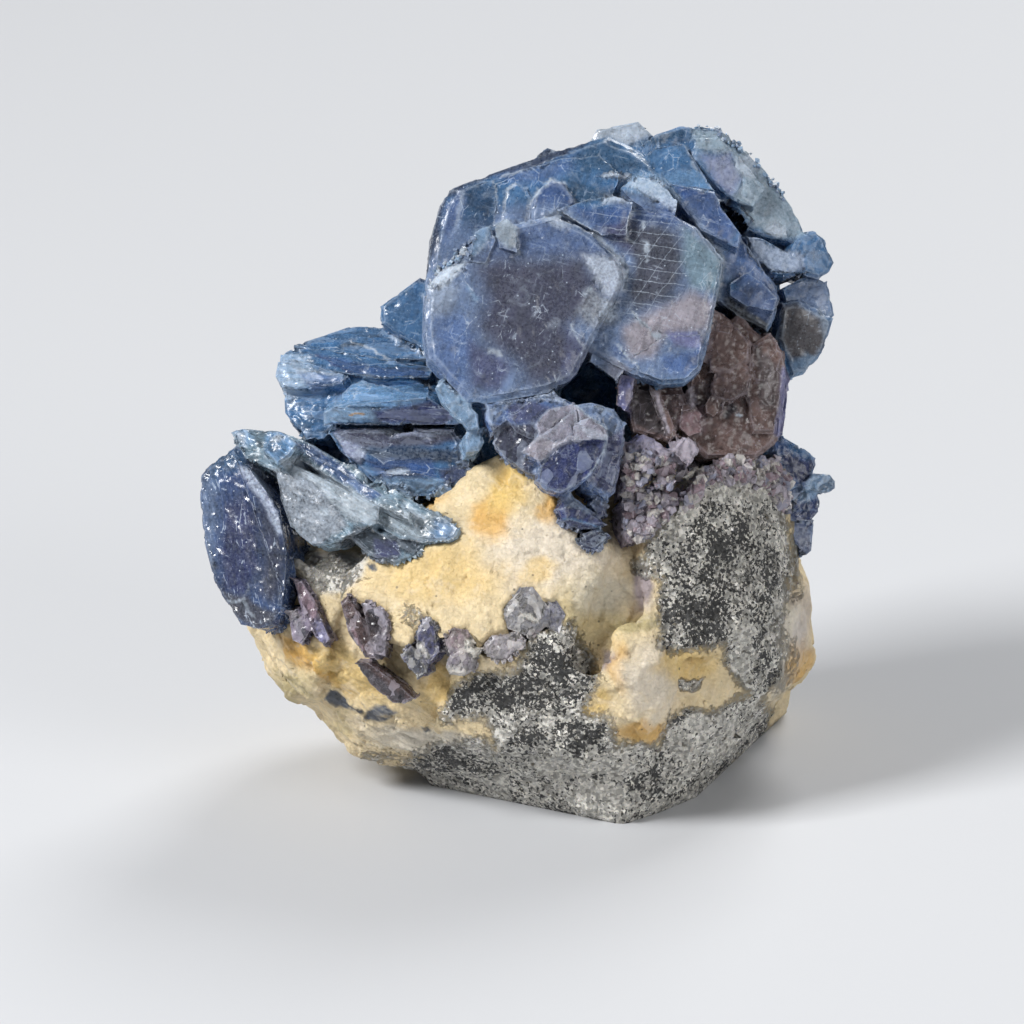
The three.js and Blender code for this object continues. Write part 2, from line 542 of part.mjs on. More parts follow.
// The stack of plates at the left, which lie nearly flat and show their edges.
function leftStack() {
  const rearTop = tablet({
    rim: [
      [-27.5, 59.4], [-25.4, 59.9], [-21.3, 61.4], [-20, 62], [-18.1, 62.1], [-14.4, 61.1],
      [-10.6, 59.8], [-10, 57.5], [-19, 57.6], [-24, 58.4],
    ],
    at: -6.5, leanX: -0.1, leanH: 1.2, thick: 4, chamfer: 0.3,
  });
  const upper = tablet({
    rim: [
      [-28.9, 58.3], [-27.6, 59], [-24.1, 59.2], [-19, 58], [-12, 57], [-9.4, 56.6], [-10, 55.2],
      [-17.1, 55.1], [-24.6, 56.4], [-28.9, 56.9],
    ],
    at: -9.5, leanX: -0.1, leanH: 0.8, thick: 5, chamfer: 0.3,
  });
  const second = tablet({
    rim: [
      [-29.6, 55.5], [-29.3, 57.4], [-27.3, 57.8], [-24.9, 57.2], [-20.1, 55.6], [-20.9, 54.3],
      [-26.1, 53.7], [-28.6, 53.9],
    ],
    at: -11.4, leanX: -0.2, leanH: 0.45, thick: 6, chamfer: 0.4,
  });
  const leftEnds = tablet({
    rim: [
      [-28.6, 54.4], [-26, 54.4], [-20.3, 54.4], [-20.1, 51], [-23.4, 47.6], [-25.6, 47.6],
      [-27.3, 49.2], [-28.4, 50.6], [-28.4, 52],
    ],
    at: -10.8, leanX: -0.25, leanH: 0.3, thick: 7, chamfer: 0.5,
  });
  const brightPrism = tablet({
    rim: [
      [-21.2, 53.4], [-20.1, 54.5], [-19.1, 55.2], [-17.1, 54.9], [-10.6, 53], [-12.6, 51.3],
      [-19.1, 51.2], [-21.8, 51.4],
    ],
    at: -14.6, leanX: -0.1, leanH: 0.75, thick: 7, chamfer: 0.3,
  });
  const indigoBand = tablet({
    rim: [
      [-23.4, 50.8], [-22.1, 51.6], [-12.6, 51.6], [-10.4, 52.8], [-8.9, 51.8], [-5.4, 49.7],
      [-6.6, 49.1], [-14.6, 49.1], [-23.4, 49.1],
    ],
    at: -16.3, leanX: -0.05, leanH: -0.3, thick: 12, chamfer: 0.25,
  });
  const lowerPlate = tablet({
    rim: [
      [-22.9, 48.3], [-20.9, 48.7], [-7.1, 48.7], [-5.3, 45.8], [-4.8, 44], [-5.1, 42.4],
      [-8.1, 40.5], [-10.6, 40.3], [-14.6, 40.7], [-17.1, 42], [-21.1, 45.6],
    ],
    at: -16.2, leanX: -0.05, leanH: -0.12, thick: 14, chamfer: 0.6, taper: 2,
  });
  const lowerRim = tablet({
    rim: [
      [-16.4, 43], [-12, 43.4], [-7.6, 42.4], [-7.4, 41.2], [-8.3, 40.3], [-10.6, 40.1],
      [-14.6, 40.5],
    ],
    at: -17, leanX: -0.05, leanH: -0.3, thick: 3, chamfer: 0,
  });
  const rearBlock = tablet({
    rim: [[-26, 56], [-12, 57.5], [-8, 52], [-8, 42], [-18, 41.5], [-24, 46]],
    at: -7, leanX: -0.1, leanH: 0.25, thick: 14, chamfer: 0, taper: 3,
  });
  return intergrown([
    rearTop, upper, second, leftEnds, brightPrism, indigoBand, lowerPlate, lowerRim, rearBlock,
  ]);
}

// The long grey-blue blade below the stack.
function leftBlade() {
  const blade = tablet({
    rim: [
      [-35.1, 48.5], [-34.4, 49.1], [-29.1, 48.8], [-25.6, 47.5], [-21.6, 45], [-16.1, 40.9],
      [-9.6, 38.1], [-7.4, 37.5], [-6.4, 36.5], [-6.9, 35.5], [-8.1, 35], [-13.9, 35.2],
      [-27.8, 43.8], [-33.1, 45.2],
    ],
    at: -15.6, leanX: -0.25, leanH: 0.35, thick: 8, chamfer: 0.4,
  });
  const face = tablet({
    rim: [
      [-29.6, 44.2], [-27.1, 44.6], [-21.5, 41.9], [-16.4, 39.2], [-16.4, 37], [-20.1, 35.8],
      [-22.1, 34.4], [-24.6, 34.1], [-27.6, 36.6], [-28.9, 40.3],
    ],
    at: -18.2, leanX: -0.3, leanH: 0.12, thick: 7, chamfer: 0.4,
  });
  const strip = tablet({
    rim: [
      [-26.4, 45], [-24.4, 45.6], [-17.6, 41.4], [-12.4, 38.8], [-12.6, 37.4], [-17, 39.4],
      [-22, 42.4],
    ],
    at: -18.9, leanX: -0.25, leanH: 0.35, thick: 4, chamfer: 0,
  });
  const knob = tablet({
    rim: [
      [-31.1, 46.3], [-30.3, 48.1], [-29.1, 48.7], [-27, 48.1], [-26.1, 47], [-27.4, 45.2],
      [-29.1, 44.2],
    ],
    at: -18.2, leanX: -0.15, leanH: 0.3, thick: 5, chamfer: 0.5,
  });
  const rightEnd = tablet({
    rim: [
      [-16.4, 38.6], [-13.4, 38.9], [-8.6, 36.9], [-8.1, 35], [-11.5, 34.7], [-13.9, 35.1],
      [-16, 36.4],
    ],
    at: -19.4, leanX: -0.12, leanH: 0.3, thick: 5, chamfer: 0,
  });
  const darkFoot = tablet({
    rim: [
      [-20.4, 35.4], [-18.4, 37], [-14.6, 35.8], [-10.9, 34.4], [-11.6, 33], [-14.4, 31.9],
      [-17.9, 33.1],
    ],
    at: -19.2, leanX: -0.1, leanH: 0.1, thick: 6, chamfer: 0.5,
  });
  return intergrown([blade, face, strip, knob, rightEnd, darkFoot]);
}

// The big deep blue tablet at the far left, with the paler ridge down its right side.
function farLeftTablet() {
  const broad = tablet({
    rim: [
      [-39.1, 43.3], [-38, 44.5], [-34.6, 46.8], [-33, 44.6], [-30.3, 41], [-28.6, 38], [-28, 31],
      [-28.6, 26.5], [-29.9, 24.5], [-31.6, 24], [-33.9, 24.5], [-37.1, 29.3], [-38.6, 35], [-39.1, 40],
    ],
    at: -12.5, leanX: -0.42, leanH: 0.12, thick: 10, chamfer: 0.6, taper: 2,
  });
  const ridge = tablet({
    rim: [
      [-34.6, 45.6], [-32.8, 44.6], [-28.6, 38.8], [-27.6, 33], [-28, 28.6], [-29.2, 30],
      [-30.4, 38], [-33, 43],
    ],
    at: -15.4, leanX: -0.1, leanH: 0.1, thick: 5, chamfer: 0.4,
  });
  return intergrown([broad, ridge]);
}

// Flaky violet crystals in the feldspar beside the far left tablet.
function leftFlakes() {
  const long = tablet({
    rim: [
      [-27.3, 30.4], [-26.1, 30.3], [-24.3, 27.5], [-22.4, 22.8], [-23.3, 21.8], [-24.6, 23],
      [-26.4, 26.6],
    ],
    at: -15.4, leanX: -0.3, leanH: 0.05, thick: 4, chamfer: 0.4,
  });
  const short = tablet({
    rim: [[-28, 26.3], [-26.4, 26.6], [-24.8, 24], [-26, 21.9], [-27.3, 22.5]],
    at: -14.6, leanX: -0.3, leanH: -0.05, thick: 4, chamfer: 0,
  });
  return intergrown([long, short]);
}

// Purple-grey broken crystals where the crown meets the rock.
function purpleCluster() {
  const upper = tablet({
    rim: [
      [13.9, 47.4], [16.1, 48.4], [17.9, 47.7], [19.9, 46.1], [19.4, 44.8], [15.4, 41.6],
      [13.4, 40.9], [13.6, 45],
    ],
    at: -21, leanX: 0.15, leanH: 0.25, thick: 7, chamfer: 0.7,
  });
  const facet = tablet({
    rim: [[15, 45.6], [16.6, 46.6], [18.4, 45.4], [17, 43.6], [15.4, 43.8]],
    at: -22, leanX: 0.1, leanH: 0.3, thick: 4, chamfer: 0,
  });
  const sliver = tablet({
    rim: [[17.1, 41.4], [19.5, 44.9], [20.5, 44.2], [19.8, 41.8]],
    at: -20.6, leanX: 0.3, leanH: 0.2, thick: 4, chamfer: 0,
  });
  const lower = tablet({
    rim: [
      [13.4, 40], [15.4, 41.5], [17.9, 41.5], [21.4, 40.6], [19.4, 38], [16.1, 35.4], [14.4, 34.9],
      [13.5, 37.4],
    ],
    at: -20.4, leanX: 0.2, leanH: 0.2, thick: 7, chamfer: 0.8,
  });
  const bead = tablet({
    rim: [[14.4, 37], [15.2, 38.2], [17, 38.4], [18.2, 37.2], [17.4, 35.6], [15.2, 35.2]],
    at: -21.4, leanX: 0.15, leanH: 0.15, thick: 4, chamfer: 0.6,
  });
  const paleRough = tablet({
    rim: [[19.6, 45.9], [21.1, 48.1], [22.9, 47.5], [23.4, 45.9], [21.9, 44]],
    at: -18.8, leanX: 0.3, leanH: 0.2, thick: 5, chamfer: 0.5,
  });
  return intergrown([upper, facet, sliver, lower, bead, paleRough]);
}

// Stepped blue crystals on the right edge.
function rightSteps() {
  const top = tablet({
    rim: [[32.4, 47.5], [33.9, 48.1], [36.8, 46.5], [38.3, 45.4], [38.2, 44.4], [37, 41.6], [33.8, 41]],
    at: -3, leanX: 0.4, leanH: 0.2, thick: 11, chamfer: 0.4,
  });
  const knob = tablet({
    rim: [[36, 42.4], [37.5, 43.5], [39.8, 43.4], [40.6, 42.4], [40.5, 41.4], [39.8, 40.9], [36.2, 41]],
    at: -3.4, leanX: 0.3, leanH: 0.1, thick: 5, chamfer: 0.4,
  });
  const middle = tablet({
    rim: [[34, 42], [37.9, 41.4], [38.6, 39.9], [38.5, 38.4], [37.4, 37.2], [34.6, 37.4]],
    at: -2.4, leanX: 0.4, leanH: 0.1, thick: 10, chamfer: 0,
  });
  const low = tablet({
    rim: [[34.6, 38], [37.9, 37.6], [37.6, 35.1], [37.5, 33.6], [36.8, 33], [35.4, 34.6]],
    at: -1.6, leanX: 0.4, leanH: 0.1, thick: 9, chamfer: 0,
  });
  return intergrown([top, knob, middle, low]);
}

// Two dark blue beads and the block beside them, under the front cluster.
function smallBlue() {
  const upper = tablet({
    rim: [
      [5.4, 39], [6.1, 40.1], [7.6, 40.7], [9.4, 39.4], [12, 37], [11.4, 36.6], [8.4, 36.2],
      [6.1, 37.1],
    ],
    at: -23.2, leanX: 0.15, leanH: 0.1, thick: 6, chamfer: 0.9,
  });
  const lower = tablet({
    rim: [[7.9, 34.9], [8.6, 36], [11.1, 36.7], [12.4, 35.6], [10.4, 33.5], [9, 33.8]],
    at: -22.6, leanX: 0.1, leanH: 0.1, thick: 5, chamfer: 0.5,
  });
  const block = tablet({
    rim: [[9.4, 39.6], [10.4, 40.2], [11.8, 39.4], [12, 37.8], [10.8, 37.8]],
    at: -22.2, leanX: 0.2, leanH: 0.1, thick: 4, chamfer: 0,
  });
  return intergrown([upper, lower, block]);
}

// A see-through sliver and the pale bead below it.
function paleTongue() {
  const tongue = tablet({
    rim: [[-9.4, 54], [-8.8, 54.9], [-7.8, 54.4], [-4, 50.6], [-3.8, 48.6], [-5.4, 48.4], [-8.6, 51.8]],
    at: -23.2, leanX: 0.15, leanH: 0.05, thick: 3, chamfer: 0.4,
  });
  const bead = tablet({
    rim: [[-6.1, 47.8], [-5.3, 49.1], [-3.7, 48.9], [-3.2, 47.2], [-3.9, 46], [-5.6, 45.9]],
    at: -22, leanX: 0.1, leanH: 0.2, thick: 9, chamfer: 0.5,
  });
  return intergrown([tongue, bead]);
}

// The round crystal at the right end of the grey row across the feldspar.
function greyRound() {
  const main = tablet({
    rim: [[-1, 27], [1, 29.3], [2.6, 29.4], [4.6, 26.9], [4.8, 25], [2.5, 23], [-0.5, 24.3], [-1, 25.8]],
    at: -24, leanX: 0.05, leanH: 0.1, thick: 6, chamfer: 1.2,
  });
  const slice = tablet({
    rim: [[4.4, 27.5], [5.5, 27.6], [6.6, 25.9], [5.8, 23.5], [4.6, 24]],
    at: -23, leanX: 0.2, leanH: 0.1, thick: 5, chamfer: 0,
  });
  return intergrown([main, slice]);
}

// The low block of that row.
function greyLow() {
  const block = tablet({
    rim: [
      [-3.5, 22.2], [-2.5, 23.3], [0.7, 23.4], [1.9, 22.4], [1, 21.3], [-0.5, 20], [-2.3, 20],
      [-3.3, 21],
    ],
    at: -24, leanX: 0.05, leanH: -0.1, thick: 5, chamfer: 0.6,
  });
  return intergrown([block]);
}

// The two crystals on top of each other beside it.
function greyTwin() {
  const upper = tablet({
    rim: [[-8.5, 23], [-7.3, 24.3], [-5.5, 24.1], [-4.4, 22.4], [-5.2, 20.8], [-8, 21.2]],
    at: -23.6, leanX: -0.05, leanH: 0.1, thick: 5, chamfer: 0.8,
  });
  const lower = tablet({
    rim: [[-7.8, 20.9], [-5, 21.9], [-3.9, 21.4], [-4.5, 18.8], [-6, 18], [-7.8, 18.3], [-8.3, 19.3]],
    at: -23.8, leanX: -0.05, leanH: -0.2, thick: 5, chamfer: 0.6,
  });
  return intergrown([upper, lower]);
}

// The platy pair at the row's left end.
function greyPlates() {
  const upper = tablet({
    rim: [
      [-12.3, 22.8], [-11.3, 25.5], [-10.5, 25.8], [-9.3, 24.7], [-8.9, 21.3], [-10.3, 19.6],
      [-11.6, 20.6],
    ],
    at: -22.4, leanX: -0.25, leanH: 0.05, thick: 5, chamfer: 0.4,
  });
  const lower = tablet({
    rim: [[-14.2, 20.9], [-12.5, 22.4], [-10.4, 19.6], [-10.2, 18.5], [-11.8, 17.6], [-13, 19.2]],
    at: -21.8, leanX: -0.25, leanH: -0.1, thick: 5, chamfer: 0.4,
  });
  return intergrown([upper, lower]);
}

// A dark brownish bundle of prisms, which trails off down to the right.
function darkPrisms() {
  const main = tablet({
    rim: [
      [-21.5, 27.5], [-20.3, 28.5], [-18.8, 26.2], [-16.8, 22.4], [-16.8, 20.3], [-18.3, 20.4],
      [-20.5, 23.6],
    ],
    at: -19.6, leanX: -0.3, leanH: 0.05, thick: 5, chamfer: 0.5,
  });
  const side = tablet({
    rim: [[-18.8, 27.4], [-17.8, 27.6], [-15.6, 26.4], [-14.9, 24.6], [-15.6, 20.6], [-17.4, 21]],
    at: -20.4, leanX: -0.15, leanH: 0.1, thick: 5, chamfer: 0.4,
  });
  const tail = tablet({
    rim: [
      [-19.6, 19.9], [-17.8, 20], [-14, 17.3], [-11.8, 15.3], [-13.3, 14.6], [-14.8, 14.8],
      [-17.3, 16.8],
    ],
    at: -18.8, leanX: -0.25, leanH: -0.2, thick: 4, chamfer: 0,
  });
  return intergrown([main, side, tail]);
}

// Small crystals at the back, where the rock is bare.
function backCrystals() {
  const upper = stubby({
    at: [-12, 22, 29], radius: 4.5, long: 9, turn: 0.2, tip: 0.8, leanX: 0.5, leanH: -0.3,
  });
  const lower = stubby({ at: [-8, 25.5, 23], radius: 3.4, long: 8, turn: 0.6, tip: 0.7, leanX: 0.3 });
  return intergrown([upper, lower]);
}

// Each crystal gives way to those listed before it, and the rock gives way to all of them.
const CRYSTALS = [
  { name: "crown_plates", made: crown(), colour: 0x5b7ba6 },
  { name: "front_cluster", made: frontCluster(), colour: 0x4a5f8c },
  { name: "brown_plates", made: brownPlates(), colour: 0x5a4f4e },
  { name: "purple_cluster", made: purpleCluster(), colour: 0x77727f },
  { name: "left_stack", made: leftStack(), colour: 0x6387ad },
  { name: "left_blade", made: leftBlade(), colour: 0x7f8f9e },
  { name: "far_left_tablet", made: farLeftTablet(), colour: 0x3f4f86 },
  { name: "left_flakes", made: leftFlakes(), colour: 0x7b7482 },
  { name: "right_steps", made: rightSteps(), colour: 0x43557f },
  { name: "small_blue_crystals", made: smallBlue(), colour: 0x3d4268 },
  { name: "pale_tongue", made: paleTongue(), colour: 0x93a9c4 },
  { name: "grey_round_crystal", made: greyRound(), colour: 0x777784 },
  { name: "grey_low_crystal", made: greyLow(), colour: 0x8a7f88 },
  { name: "grey_twin_crystal", made: greyTwin(), colour: 0x8a7f88 },
  { name: "grey_platy_crystal", made: greyPlates(), colour: 0x5d5f70 },
  { name: "dark_prisms", made: darkPrisms(), colour: 0x4a424a },
  { name: "back_crystals", made: backCrystals(), colour: 0x4f6690 },
];

// A named mesh with a plain material of its own.
function namedMesh(name, solid, colour, roughness) {
  const look = { color: colour, roughness, metalness: 0, flatShading: true };
  const material = new THREE.MeshStandardMaterial(look);
  const mesh = new THREE.Mesh(geometryFrom(solid), material);
  mesh.name = name;
  return mesh;
}

// The largest of a solid's separate bodies: trimming can leave crumbs beside it.
function mainBody(solid) {
  return solid.decompose().reduce((best, body) => (body.volume() > best.volume() ? body : best));
}

const specimen = new THREE.Group();
const roomsTaken = [];
for (const { name, made, colour } of CRYSTALS) {
  const trimmed = roomsTaken.reduce((solid, room) => solid.subtract(room), made.solid);
  specimen.add(namedMesh(name, mainBody(trimmed), colour, 0.35));
  roomsTaken.push(made.room);
}
const socketed = roomsTaken.reduce((solid, room) => solid.subtract(room), rock());
specimen.add(namedMesh("matrix_rock", mainBody(socketed), 0xcbb894, 0.85));

// Stands the specimen on the ground, with the origin under the middle of it.
specimen.rotation.x = -LOOK_DOWN;
specimen.updateMatrixWorld(true);
const box = new THREE.Box3().setFromObject(specimen, true);
specimen.position.set(-(box.min.x + box.max.x) / 2, -(box.min.y + box.max.y) / 2, -box.min.z);

export default specimen;
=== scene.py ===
"""Finishes the sapphire specimen: its crystals, its rock, and the studio that it stands in.

Places on the specimen are given in the frame of someone who looks at its good side from a little
above: x runs to the right, d runs away from the viewer and h runs up, all in millimetres.
"""

import logging
import math
import random
from collections.abc import Callable, Iterable
from dataclasses import dataclass, replace
from enum import Enum
from itertools import product

import bmesh
import bpy
import numpy as np
from mathutils import Matrix, Vector
from mathutils.bvhtree import BVHTree
from mathutils.kdtree import KDTree


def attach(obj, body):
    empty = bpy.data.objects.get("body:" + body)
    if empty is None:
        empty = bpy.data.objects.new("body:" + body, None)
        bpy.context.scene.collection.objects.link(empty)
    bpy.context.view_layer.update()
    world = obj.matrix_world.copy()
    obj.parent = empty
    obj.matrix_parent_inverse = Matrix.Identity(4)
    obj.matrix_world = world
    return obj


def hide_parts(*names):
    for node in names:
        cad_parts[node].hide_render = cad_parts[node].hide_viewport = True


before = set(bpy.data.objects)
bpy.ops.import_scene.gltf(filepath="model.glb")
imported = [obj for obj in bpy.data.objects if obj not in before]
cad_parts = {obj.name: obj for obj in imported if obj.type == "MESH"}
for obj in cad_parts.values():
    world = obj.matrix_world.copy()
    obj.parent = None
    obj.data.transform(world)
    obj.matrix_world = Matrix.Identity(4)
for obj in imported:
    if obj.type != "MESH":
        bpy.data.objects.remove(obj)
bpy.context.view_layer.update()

MM = 0.001
LOOK_DOWN = math.radians(18.0)
GOOD_SIDE_ORIGIN = Vector((-0.797, -11.923, -2.853))
BURIED_GAP = 0.42
OVERLAP = 0.12
FAR = 50.0
SEAM_REACH = 0.22
CREASE_ANGLE = math.radians(22.0)
FLAT_ANGLE = math.radians(5.0)

log = logging.getLogger("specimen")


class Tone(Enum):
    """The specimen's colours, by a painter's names."""

    NAVY = "#173058"
    INK_BLUE = "#1f3a5c"
    INDIGO = "#232f70"
    ROYAL = "#2f569c"
    PETROL = "#1f527f"
    DEEP_TEAL = "#285d88"
    STEEL = "#437db4"
    MID_BLUE = "#587ab7"
    SLATE_BLUE = "#365d9c"
    SKY = "#76aade"
    PALE_BLUE = "#93b8de"
    ICE = "#d3e0f0"
    FOG_BLUE = "#7d96c1"
    DEEP_FOG = "#5470a6"
    FOG = "#9a9fb6"
    ASH_BLUE = "#8aa8bc"
    LILAC = "#8a8ec2"
    SLATE_VIOLET = "#525684"
    UMBER_VIOLET = "#454560"
    UMBER_GREY = "#454658"
    ROSE_GREY = "#bab2bd"
    ROSE = "#9c8188"
    SMOKE = "#5c5454"
    # Near black; among its uses, the painted shade in slits, cracks and hollows.
    NEAR_BLACK = "#26262d"
    PALE_GREY = "#b4c2cc"
    BROWN = "#7a625a"
    DARK_BROWN = "#56433f"
    VIOLET_GREY = "#857b8f"
    GREY = "#9696a4"
    CREAM = "#ebd6ac"
    WHITE_CREAM = "#eaddc8"
    OCHRE = "#e0a83f"
    AMBER = "#eac778"
    OLIVE = "#b5a778"
    STONE_WHITE = "#e3dfd6"
    STONE_GREY = "#a09e98"
    STONE_DARK = "#232426"
    SLATE = "#5b6069"

    @property
    def linear(self) -> tuple[float, float, float]:
        """The colour as linear red, green and blue."""
        parts = (int(self.value[i : i + 2], 16) / 255 for i in (1, 3, 5))
        return tuple(p / 12.92 if p <= 0.04045 else ((p + 0.055) / 1.055) ** 2.4 for p in parts)

    @property
    def rgba(self) -> tuple[float, float, float, float]:
        """The colour as a shader socket takes it."""
        return (*self.linear, 1.0)


def to_good_side() -> Matrix:
    """The matrix from the row frame in metres to the good side's frame in millimetres."""
    lift = Matrix.Translation(-GOOD_SIDE_ORIGIN)
    return Matrix.Rotation(LOOK_DOWN, 4, "X") @ lift @ Matrix.Scale(1 / MM, 4)


def seen_from_good_side(x: float, d: float, h: float) -> Vector:
    """A place of the good side's frame, in metres in the row frame.

    Args:
        x: Millimetres to the right.
        d: Millimetres away from the viewer.
        h: Millimetres up.

    Returns:
        The same place in the row frame.
    """
    return to_good_side().inverted() @ Vector((x, d, h))


def smooth_step(values: np.ndarray, low: float, high: float) -> np.ndarray:
    """0 below low, 1 above high, and a smooth rise between.

    Args:
        values: What is compared.
        low: Where the rise starts.
        high: Where it ends.

    Returns:
        Numbers from 0 to 1.
    """
    part = np.clip((values - low) / (high - low), 0, 1)
    return part * part * (3 - 2 * part)


class Noise:
    """Repeatable irregularity, worked out from a place alone."""

    @staticmethod
    def scatter(cells: np.ndarray, seed: int) -> np.ndarray:
        """A number from 0 to 1 for each whole-numbered cell.

        Args:
            cells: Cell numbers, N by 3.
            seed: Which of the possible patterns to take.

        Returns:
            One number per cell.
        """
        mask = np.uint64(0xFFFFFFFF)
        whole = cells.astype(np.int64).astype(np.uint64)
        mixed = whole[:, 0] * np.uint64(73856093)
        mixed ^= whole[:, 1] * np.uint64(19349663)
        mixed ^= whole[:, 2] * np.uint64(83492791)
        mixed ^= np.uint64(seed * 2654435761 % 2**32)
        for _ in range(2):
            mixed &= mask
            mixed = (mixed ^ (mixed >> np.uint64(16))) * np.uint64(0x45D9F3B)
        mixed = (mixed & mask) ^ ((mixed & mask) >> np.uint64(16))
        return mixed.astype(float) / 2**32

    @classmethod
    def lumps(cls, places: np.ndarray, size: float, seed: int = 0) -> np.ndarray:
        """Smooth lumps from -1 to 1.

        Args:
            places: Places, N by 3.
            size: How far apart the lumps lie.
            seed: Which pattern to take.

        Returns:
            The height at each place.
        """
        spot = places / size
        cell = np.floor(spot)
        part = spot - cell
        part = part * part * (3 - 2 * part)
        total = np.zeros(len(places))
        for corner in product((0, 1), repeat=3):
            share = np.prod(np.where(corner, part, 1 - part), axis=1)
            total += share * cls.scatter(cell + corner, seed)
        return total * 2 - 1

    @classmethod
    def rough(cls, places: np.ndarray, size: float, seed: int = 0, layers: int = 3) -> np.ndarray:
        """Lumps with smaller lumps on them.

        Args:
            places: Places, N by 3.
            size: How far apart the biggest lumps lie.
            seed: Which pattern to take.
            layers: How many sizes of lump there are, each half the last.

        Returns:
            The height at each place.
        """
        return sum(cls.lumps(places, size / 2**i, seed + 7 * i) / 2**i for i in range(layers)) / 1.6

    @classmethod
    def blocks(cls, places: np.ndarray, size: float, seed: int = 0) -> tuple[np.ndarray, np.ndarray]:
        """Splits space into irregular blocks with flat sides.

        Args:
            places: Places, N by 3.
            size: How wide a block is.
            seed: Which pattern to take.

        Returns:
            The middle of the block that each place lies in, and how far the place is inside it.
        """
        home = np.floor(places / size)
        nearest = np.full(len(places), np.inf)
        second = np.full(len(places), np.inf)
        middle = np.zeros_like(places)
        for step in product((-1, 0, 1), repeat=3):
            cell = home + step
            jitter = np.stack([cls.scatter(cell, seed + 101 * i) for i in range(3)], axis=1)
            centre = (cell + jitter) * size
            away = np.linalg.norm(places - centre, axis=1)
            closer = away < nearest
            second = np.where(closer, nearest, np.minimum(second, away))
            middle[closer] = centre[closer]
            nearest = np.where(closer, away, nearest)
        return middle, (second - nearest) / 2

    @classmethod
    def facets(cls, places: np.ndarray, size: float, tilt: float, step: float, seed: int = 0) -> np.ndarray:
        """The relief of a broken crystal face: flat patches, each a little tilted and raised.

        Args:
            places: Places, N by 3.
            size: How wide a patch is.
            tilt: How steep a patch may be.
            step: How far a patch may stand above or below its neighbours.
            seed: Which pattern to take.

        Returns:
            The height at each place.
        """
        middle, _ = cls.blocks(places, size, seed)
        mark = np.round(middle * 1000)
        lean = np.stack([cls.scatter(mark, seed + 11 * i + 1) for i in range(3)], axis=1) * 2 - 1
        raised = cls.scatter(mark, seed + 53) * 2 - 1
        return tilt * np.sum((places - middle) * lean, axis=1) + step * raised


@dataclass(frozen=True)
class Wash:
    """A soft patch of colour, an ellipse as seen from the good side."""

    tone: Tone
    x: float
    h: float
    wide: float
    high: float
    turn: float = 0.0
    strength: float = 1.0
    until: float = 6.0
    beyond: float = -99.0
    soft: float = 0.45
    raised: float = 0.0
    edge: float = 0.0
    frost: float = 0.0

    def depths(self, places: np.ndarray) -> np.ndarray:
        """How far each place is in the range of depths that the mark reaches."""
        near = 1 - smooth_step(places[:, 1], self.until - 0.5, self.until + 0.5)
        return near * smooth_step(places[:, 1], self.beyond - 0.5, self.beyond + 0.5)

    def border(self, places: np.ndarray) -> np.ndarray:
        """How far each place is from a sharp border. A wash has none."""
        return np.full(len(places), FAR)

    def cover(self, places: np.ndarray) -> np.ndarray:
        """How strongly the wash covers each place, from 0 to 1."""
        turn = math.radians(self.turn)
        across = places[:, 0] - self.x
        up = places[:, 2] - self.h
        along = (across * math.cos(turn) + up * math.sin(turn)) / self.wide
        over = (up * math.cos(turn) - across * math.sin(turn)) / self.high
        reach = np.hypot(along, over)
        cover = 1 - smooth_step(reach, 1 - self.soft, 1 + self.soft)
        return cover * self.depths(places) * self.strength


@dataclass(frozen=True)
class Patch:
    """A patch with straight sides, as seen from the good side. It may stand up like a step."""

    tone: Tone
    corners: tuple[float, ...]
    soft: float = 0.5
    strength: float = 1.0
    until: float = 6.0
    beyond: float = -99.0
    raised: float = 0.0
    edge: float = 0.0
    frost: float = 0.0

    depths = Wash.depths

    def outline(self) -> np.ndarray:
        """The corners, with the first one again at the end."""
        course = np.array(self.corners).reshape(-1, 2)
        return np.vstack([course, course[:1]])

    def inside(self, places: np.ndarray) -> np.ndarray:
        """How far each place is inside the patch, in millimetres. Outside, it is negative."""
        outline = self.outline()
        inside = np.full(len(places), -FAR)
        around = near_course(places, outline, 2.0)
        seen = places[around]
        within = np.zeros(len(seen), dtype=bool)
        for start, end in zip(outline[:-1], outline[1:]):
            spans = (start[1] > seen[:, 2]) != (end[1] > seen[:, 2])
            slope = (end[0] - start[0]) / ((end[1] - start[1]) or 1e-9)
            within ^= spans & (seen[:, 0] < start[0] + (seen[:, 2] - start[1]) * slope)
        inside[around] = np.where(within, 1.0, -1.0) * from_course(seen, outline)
        return inside

    def border(self, places: np.ndarray) -> np.ndarray:
        """How far each place is from the patch's border, if that is sharp."""
        if self.soft > 0.6 and not self.raised and not self.edge:
            return np.full(len(places), FAR)
        return away_from(places, self.outline(), self.until, self.beyond)

    def cover(self, places: np.ndarray) -> np.ndarray:
        """How strongly the patch covers each place, from 0 to 1."""
        cover = smooth_step(self.inside(places), -self.soft, self.soft)
        return cover * self.depths(places) * self.strength


@dataclass(frozen=True)
class Trace:
    """A thin line, such as a crack or a bright edge."""

    tone: Tone
    course: tuple[float, ...]
    width: float = 0.16
    strength: float = 0.9
    until: float = 6.0
    beyond: float = -99.0
    raised: float = 0.0
    edge: float = 0.0
    frost: float = 0.0

    depths = Wash.depths

    def border(self, places: np.ndarray) -> np.ndarray:
        """How far each place is from the line."""
        course = np.array(self.course).reshape(-1, 2)
        return away_from(places, course, self.until, self.beyond)

    def cover(self, places: np.ndarray) -> np.ndarray:
        """How strongly the line covers each place, from 0 to 1."""
        away = self.border(places)
        cover = 1 - smooth_step(away, self.width * 0.4, self.width * 1.4)
        return cover * self.depths(places) * self.strength


Mark = Wash | Patch | Trace


